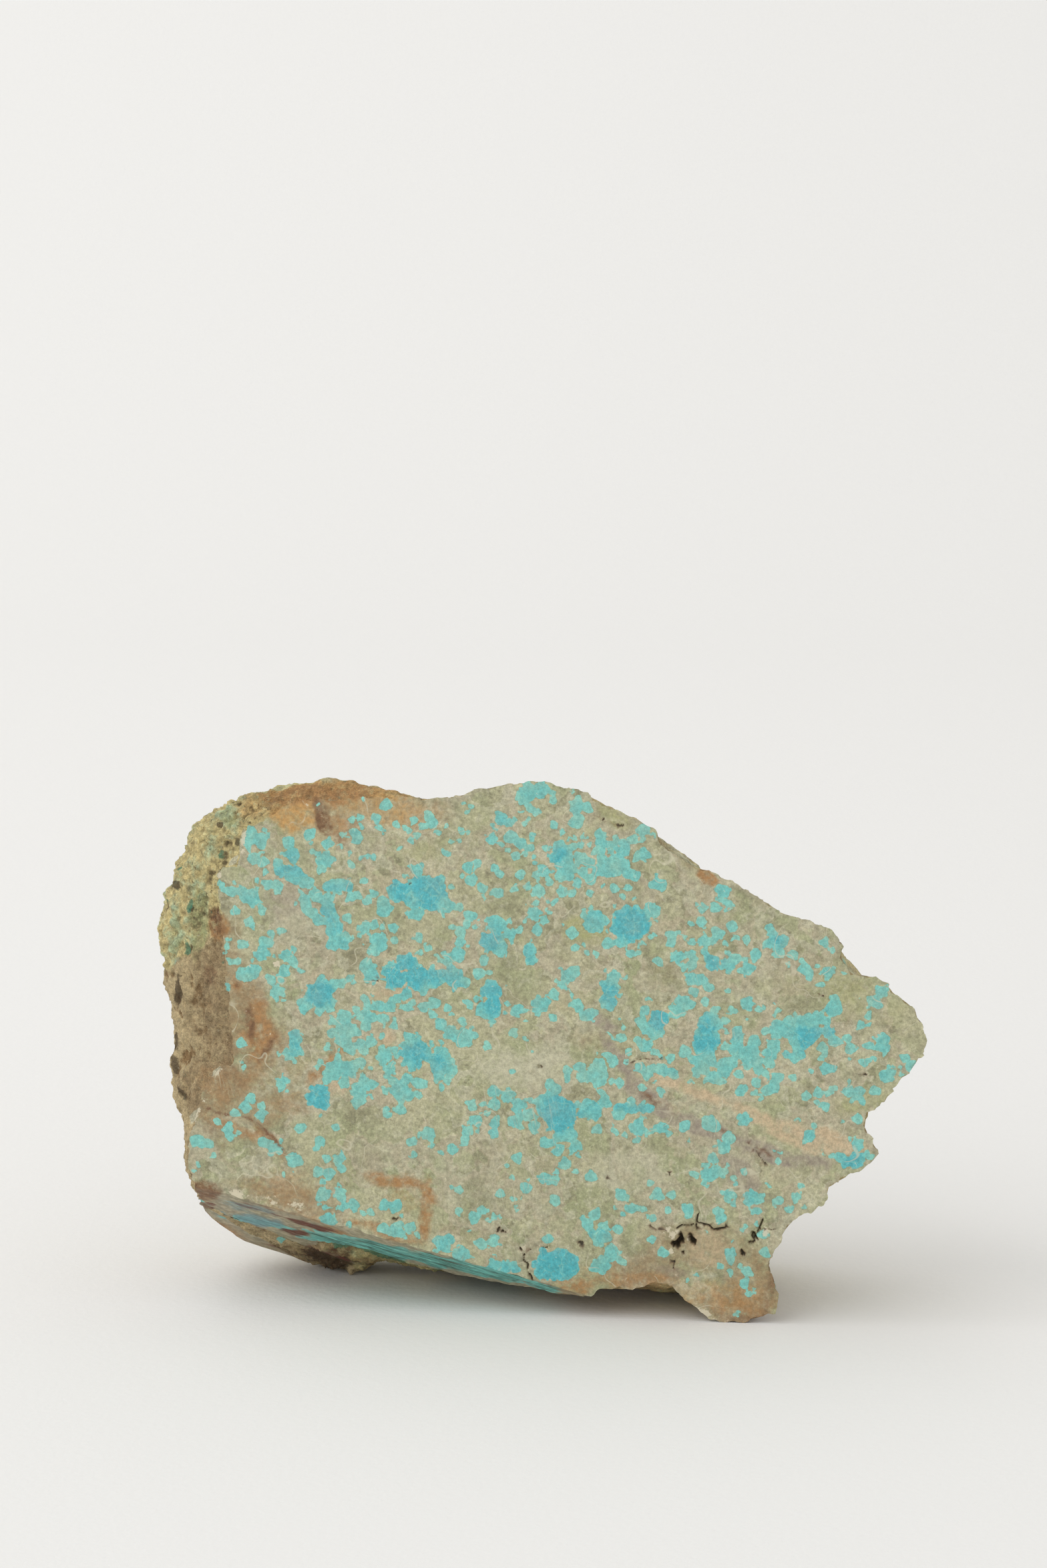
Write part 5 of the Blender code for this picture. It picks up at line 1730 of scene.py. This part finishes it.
@dataclass(frozen=True)
class CutFinish(StoneFinish):
    """The lower cut: striated along its length, with a band of teal and dark red streaks."""

    name: str = "lower_cut"
    along: Vector = field(default_factory=Vector)
    across: Vector = field(default_factory=Vector)
    ground: Tone = tone(158, 147, 125)
    teal: Tone = tone(116, 186, 176)
    slate_blue: Tone = tone(122, 160, 166)
    streak: Tone = tone(112, 66, 52)
    shadow: Tone = tone(86, 116, 98)

    def dress(self, coat: Coat) -> tuple[Value, Value]:
        """Lay the colours.

        Args:
            coat: The coat.

        Returns:
            Roughness, and height in millimetres.
        """
        graph = coat.graph
        along, across = graph.along(coat.place, self.along), graph.along(coat.place, self.across)
        long_lines, short_lines = (
            graph.noise(graph.joined(along * drawn, across * fine, 0.0), 1.0, 4.0, shift, 0.65)
            for drawn, fine, shift in ((0.06, 0.7, 31.0), (0.16, 1.5, 32.0))
        )
        grit, ragged = coat.noise(0.25, 3.0, 5.0, 0.7), coat.noise(1.0, 4.0, 4.0)
        coat.colour = self.ground
        coat.lay(ragged.smooth(0.4, 0.65) * 0.5, self.rose)
        coat.lay(0.35, self.matrix(coat))
        self.stain(coat, short_lines)
        band = (coat.reading(Stain.TEAL) * 1.3 + short_lines * 1.5 - 1.15).smooth(0.1, 0.6)
        teal = coat.start(self.teal)
        teal.lay(short_lines.smooth(0.54, 0.4) * 0.8, self.shadow)
        teal.lay(long_lines.smooth(0.56, 0.66) * 0.4, self.ground)
        teal.lay(coat.noise(1.1, 3.0, 33.0).smooth(0.55, 0.7) * 0.5, self.pale_blue)
        teal.grain(short_lines, 0.3)
        coat.lay(band, teal)
        inside = coat.reading("nodule") + (ragged - 0.5) * 0.3
        coat.lay(inside.smooth(-0.03, 0.08) * (1.0 - band) * 0.85, self.turquoise(coat, inside))
        slate = coat.start(self.slate_blue)
        slate.grain(short_lines, 0.12)
        coat.lay((coat.reading(Stain.SLATE) * 1.1 + short_lines * 1.2 - 0.75).smooth(0.1, 0.7) * 0.8, slate)
        streaks = coat.reading(Stain.STREAK) * 0.9 + long_lines * 1.2 + short_lines * 1.4 - 1.75
        coat.lay(streaks.smooth(0.1, 0.45), self.streak)
        coat.grain(short_lines, 0.2)
        coat.grain(ragged, 0.2)
        return 0.58 + grit * 0.2, grit * 0.05 + long_lines * 0.14 + short_lines * 0.1


@dataclass
class RindRelief:
    """Roughness of the natural rind, laid over the stone by Geometry Nodes; sizes in millimetres."""

    stone: bpy.types.Object
    finishes: dict[Zone, bpy.types.Material]
    granule_size: float = 1.5
    granule_height: float = 0.9
    ridge_spacing: float = 1.5
    ridge_height: float = 0.8
    crag_size: float = 6.5
    crag_height: float = 1.8
    grain_size: float = 1.2
    grain_height: float = 0.7
    seed: float = 5.0

    def __post_init__(self) -> None:
        """Gather the sizes and the seed by name."""
        self.sizes = {item.name: getattr(self, item.name) for item in fields(self) if item.type is float}

    def apply(self) -> bpy.types.Object:
        """Lay the relief, and make the result a plain mesh.

        Returns:
            The finished object.
        """
        tree = self.make_tree()
        modifier = self.stone.modifiers.new("rind_relief", "NODES")
        modifier.node_group = tree
        given = {**self.sizes, **{zone.name.lower(): self.finishes[zone] for zone in Zone}}
        for item in tree.interface.items_tree:
            if item.in_out == "INPUT" and item.name in given:
                modifier[item.identifier] = given[item.name]
        ready = self.stone.evaluated_get(bpy.context.evaluated_depsgraph_get())
        mesh = bpy.data.meshes.new_from_object(ready)
        self.stone.modifiers.remove(modifier)
        finished = in_scene("raw_turquoise", mesh)
        bpy.data.objects.remove(self.stone)
        return finished

    def make_tree(self) -> bpy.types.NodeTree:
        """Build the tree, with a named input for each size.

        Returns:
            The tree.
        """
        tree = bpy.data.node_groups.new("rind_relief", "GeometryNodeTree")
        inputs = {"Geometry": "Geometry", **dict.fromkeys(self.sizes, "Float")}
        inputs.update({zone.name.lower(): "Material" for zone in Zone})
        for name, kind in inputs.items():
            tree.interface.new_socket(name, in_out="INPUT", socket_type="NodeSocket" + kind)
        tree.interface.new_socket("Geometry", in_out="OUTPUT", socket_type="NodeSocketGeometry")
        graph = Graph(tree)
        given = graph.node("NodeGroupInput").outputs
        height = self.height(graph, {name: Value(graph, given[name]) for name in self.sizes})
        normal = graph.node("GeometryNodeInputNormal").outputs[0]
        rise = height * self.mask(graph, "open_rind") * MM
        offset = graph.node("ShaderNodeVectorMath", {"operation": "SCALE"}, {0: normal, "Scale": rise})
        # Height of the relief, stored as relief for the rind's painted shade and highlights
        level = (height * 0.8 + 0.65).highest(0.0)
        zone_of = graph.node("GeometryNodeInputNamedAttribute", {"data_type": "INT"}, {"Name": "zone"})
        steps: list[tuple[str, dict, dict]] = [
            ("StoreNamedAttribute", {"data_type": "FLOAT", "domain": "POINT"},
             {"Name": "relief", "Value": level}),
            ("SetPosition", {}, {"Offset": offset.outputs[0]}),
            ("RealizeInstances", {}, {}),
        ]
        for zone in Zone:
            sockets = {2: zone_of.outputs[0], 3: zone.value}
            chosen = graph.node("FunctionNodeCompare", {"data_type": "INT", "operation": "EQUAL"}, sockets)
            sockets = {"Selection": chosen.outputs[0], "Material": given[zone.name.lower()]}
            steps.append(("SetMaterial", {}, sockets))
        moved = given["Geometry"]
        for kind, settings, sockets in steps:
            moved = graph.node("GeometryNode" + kind, settings, {"Geometry": moved, **sockets}).outputs[0]
        graph.node("NodeGroupOutput", None, {"Geometry": moved})
        return tree

    def mask(self, graph: Graph, name: str) -> Value:
        """A point attribute as a mask."""
        node = graph.node("GeometryNodeInputNamedAttribute", {"data_type": "FLOAT"}, {"Name": name})
        return Value(graph, node.outputs[0])

    def height(self, graph: Graph, size: dict[str, Value]) -> Value:
        """Height of the relief over the smooth rind.

        Args:
            graph: The tree's graph.
            size: The tree's inputs, by name.

        Returns:
            The height in millimetres.
        """
        place = graph.millimetres(graph.node("GeometryNodeInputPosition").outputs[0])
        place = graph.vector("ADD", place, graph.joined(*[size["seed"]] * 3))
        crag = 1.0 - abs(graph.noise(place, size["crag_size"], 4.0, 41.0) * 2.0 - 1.0) * 2.0
        chips, _ = graph.cells(place, size["crag_size"] * 0.55)
        rows = graph.noise(place, size["granule_size"] * 3.0, 3.0, 44.0)
        bead, small = (0.5 - graph.cells(place, size["granule_size"] * share)[0] for share in (1.0, 0.5))
        granule = bead * rows.smooth(0.3, 0.55) * 1.2 + small * 0.5 + (rows - 0.5) * 2.2
        stretched = graph.vector("MULTIPLY", place, (1.0, 1.0, 0.25))
        ridge = 0.5 - abs(graph.noise(stretched, size["ridge_spacing"], 3.0, 42.0, 0.6) * 2.0 - 1.0) * 1.6
        ridge = ridge + graph.noise(place, size["ridge_spacing"] * 2.5, 4.0, 45.0, 0.65) * 3.4 - 1.7
        grain = graph.noise(place, size["grain_size"], 3.0, 43.0) - 0.5
        total = (crag * 0.6 - chips * 0.5 - 0.2) * size["crag_height"] * 0.7
        total = total + granule * size["granule_height"] * self.mask(graph, "granular")
        total = total + ridge * size["ridge_height"] * self.mask(graph, "fibrous")
        return total + grain * size["grain_height"]


@dataclass
class Stone:
    """The nugget: a lump of rock with turquoise nodules, sawn flat in front and once more below."""

    view: StudioView

    def build(self) -> bpy.types.Object:
        """Make the finished stone in place of the plain solid.

        Returns:
            The object.
        """
        planes = saw_planes(frame["record"])
        nodules = Nodules(self.view, *planes)
        LOG.info("%d nodule bodies", len(nodules.radii))
        raw = StoneShell(planes, nodules, Markings(self.view, planes[0])).build()
        LOG.info("smooth stone: %d triangles", len(raw.data.polygons))
        finishes = {
            Zone.SAWN: SawnFinish().build(),
            Zone.RIND: RindFinish().build(),
            Zone.CUT: CutFinish(along=planes[1].across, across=planes[1].upward).build(),
        }
        stone = RindRelief(raw, finishes).apply()
        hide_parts(NODE)
        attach(stone, "root")
        return stone


@dataclass
class Studio:
    """A pale sweep of paper, a soft key light from the left, a fill and a light on the wall; in metres."""

    half_width: float = 3.0
    front: float = -2.2       # how far the sweep reaches towards the camera
    bend_start: float = 0.7   # where it starts to curve up
    bend_radius: float = 0.9
    top: float = 3.2
    paper: Tone = tone(238, 237, 235)
    room: Tone = (1.0, 1.0, 0.99, 1.0)
    room_strength: float = 0.78

    BEND_STEPS = 32
    LIGHTS = (                # name, place, what it faces, side, power in watts
        ("key_light", (-0.85, -0.95, 1.05), (0.0, 0.0, 0.03), 1.15, 4.9),
        ("fill_light", (-0.6, 0.6, 1.6), (0.0, 0.0, 0.03), 1.1, 2.6),
        ("wall_light", (-1.7, -0.2, 1.4), (-0.4, 1.6, 0.9), 1.0, 8.0),
    )

    def build(self) -> None:
        """Set up the sweep, the lights and the world."""
        self.sweep()
        for name, place, aim, side, power in self.LIGHTS:
            data = bpy.data.lights.new(name, "AREA")
            data.size, data.energy = side, power
            light = in_scene(name, data)
            light.location = place
            light.rotation_euler = (Vector(aim) - Vector(place)).to_track_quat("-Z", "Y").to_euler()
        world = bpy.data.worlds.new("soft_room")
        world.use_nodes = True
        background = world.node_tree.nodes["Background"]
        background.inputs["Color"].default_value = self.room
        background.inputs["Strength"].default_value = self.room_strength
        bpy.context.scene.world = world
        bpy.context.scene.view_settings.view_transform = "Standard"

    def sweep(self) -> None:
        """Make the paper: a floor that curves up into a back."""
        angles = [0.5 * math.pi * step / self.BEND_STEPS for step in range(1, self.BEND_STEPS + 1)]
        bend = [
            (self.bend_start + self.bend_radius * math.sin(angle), self.bend_radius * (1.0 - math.cos(angle)))
            for angle in angles
        ]
        back = (self.bend_start + self.bend_radius, self.top)
        profile = [(self.front, 0.0), (self.bend_start, 0.0), *bend, back]
        shape = bmesh.new()
        rows = [
            [shape.verts.new((side * self.half_width, y, z)) for side in (-1.0, 1.0)] for y, z in profile
        ]
        for near, far in zip(rows, rows[1:]):
            shape.faces.new((near[0], near[1], far[1], far[0])).smooth = True
        mesh = bpy.data.meshes.new("paper_sweep")
        shape.to_mesh(mesh)
        shape.free()
        mesh.materials.append(make_finish("studio_paper", self.paper_sockets))
        in_scene("paper_sweep", mesh)

    def paper_sockets(self, graph: Graph, place: bpy.types.NodeSocket) -> tuple[dict, dict]:
        """Matt paper with a faint tooth.

        Args:
            graph: The material's graph.
            place: Object coordinates.

        Returns:
            Sockets of the surface and of its bump, by name.
        """
        surface = {"Base Color": self.paper, "Roughness": 0.9, "Specular IOR Level": 0.1}
        return surface, {"Strength": 0.1, "Height": graph.noise(place, 0.0012, 2.0)}


def main() -> None:
    """Build the stone and the studio, and report each piece."""
    logging.basicConfig(level=logging.INFO, format="%(name)s: %(message)s")
    low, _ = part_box(NODE)
    view = StudioView(
        azimuth=6.0, elevation=13.0, distance=685.0, lens=105.0, sensor=36.0, size=(1568, 2349),
        middle=Vector((1.32, low.y / MM, 41.5)), middle_pixel=(813.0, 1571.0),
    )
    stone = Stone(view).build()
    LOG.info("%s: %d triangles", stone.name, len(stone.data.polygons))
    view.make_camera()
    studio = Studio()
    studio.build()
    LOG.info("studio: sweep, %d lights and a world", len(studio.LIGHTS))


if __name__ == "__main__":
    main()
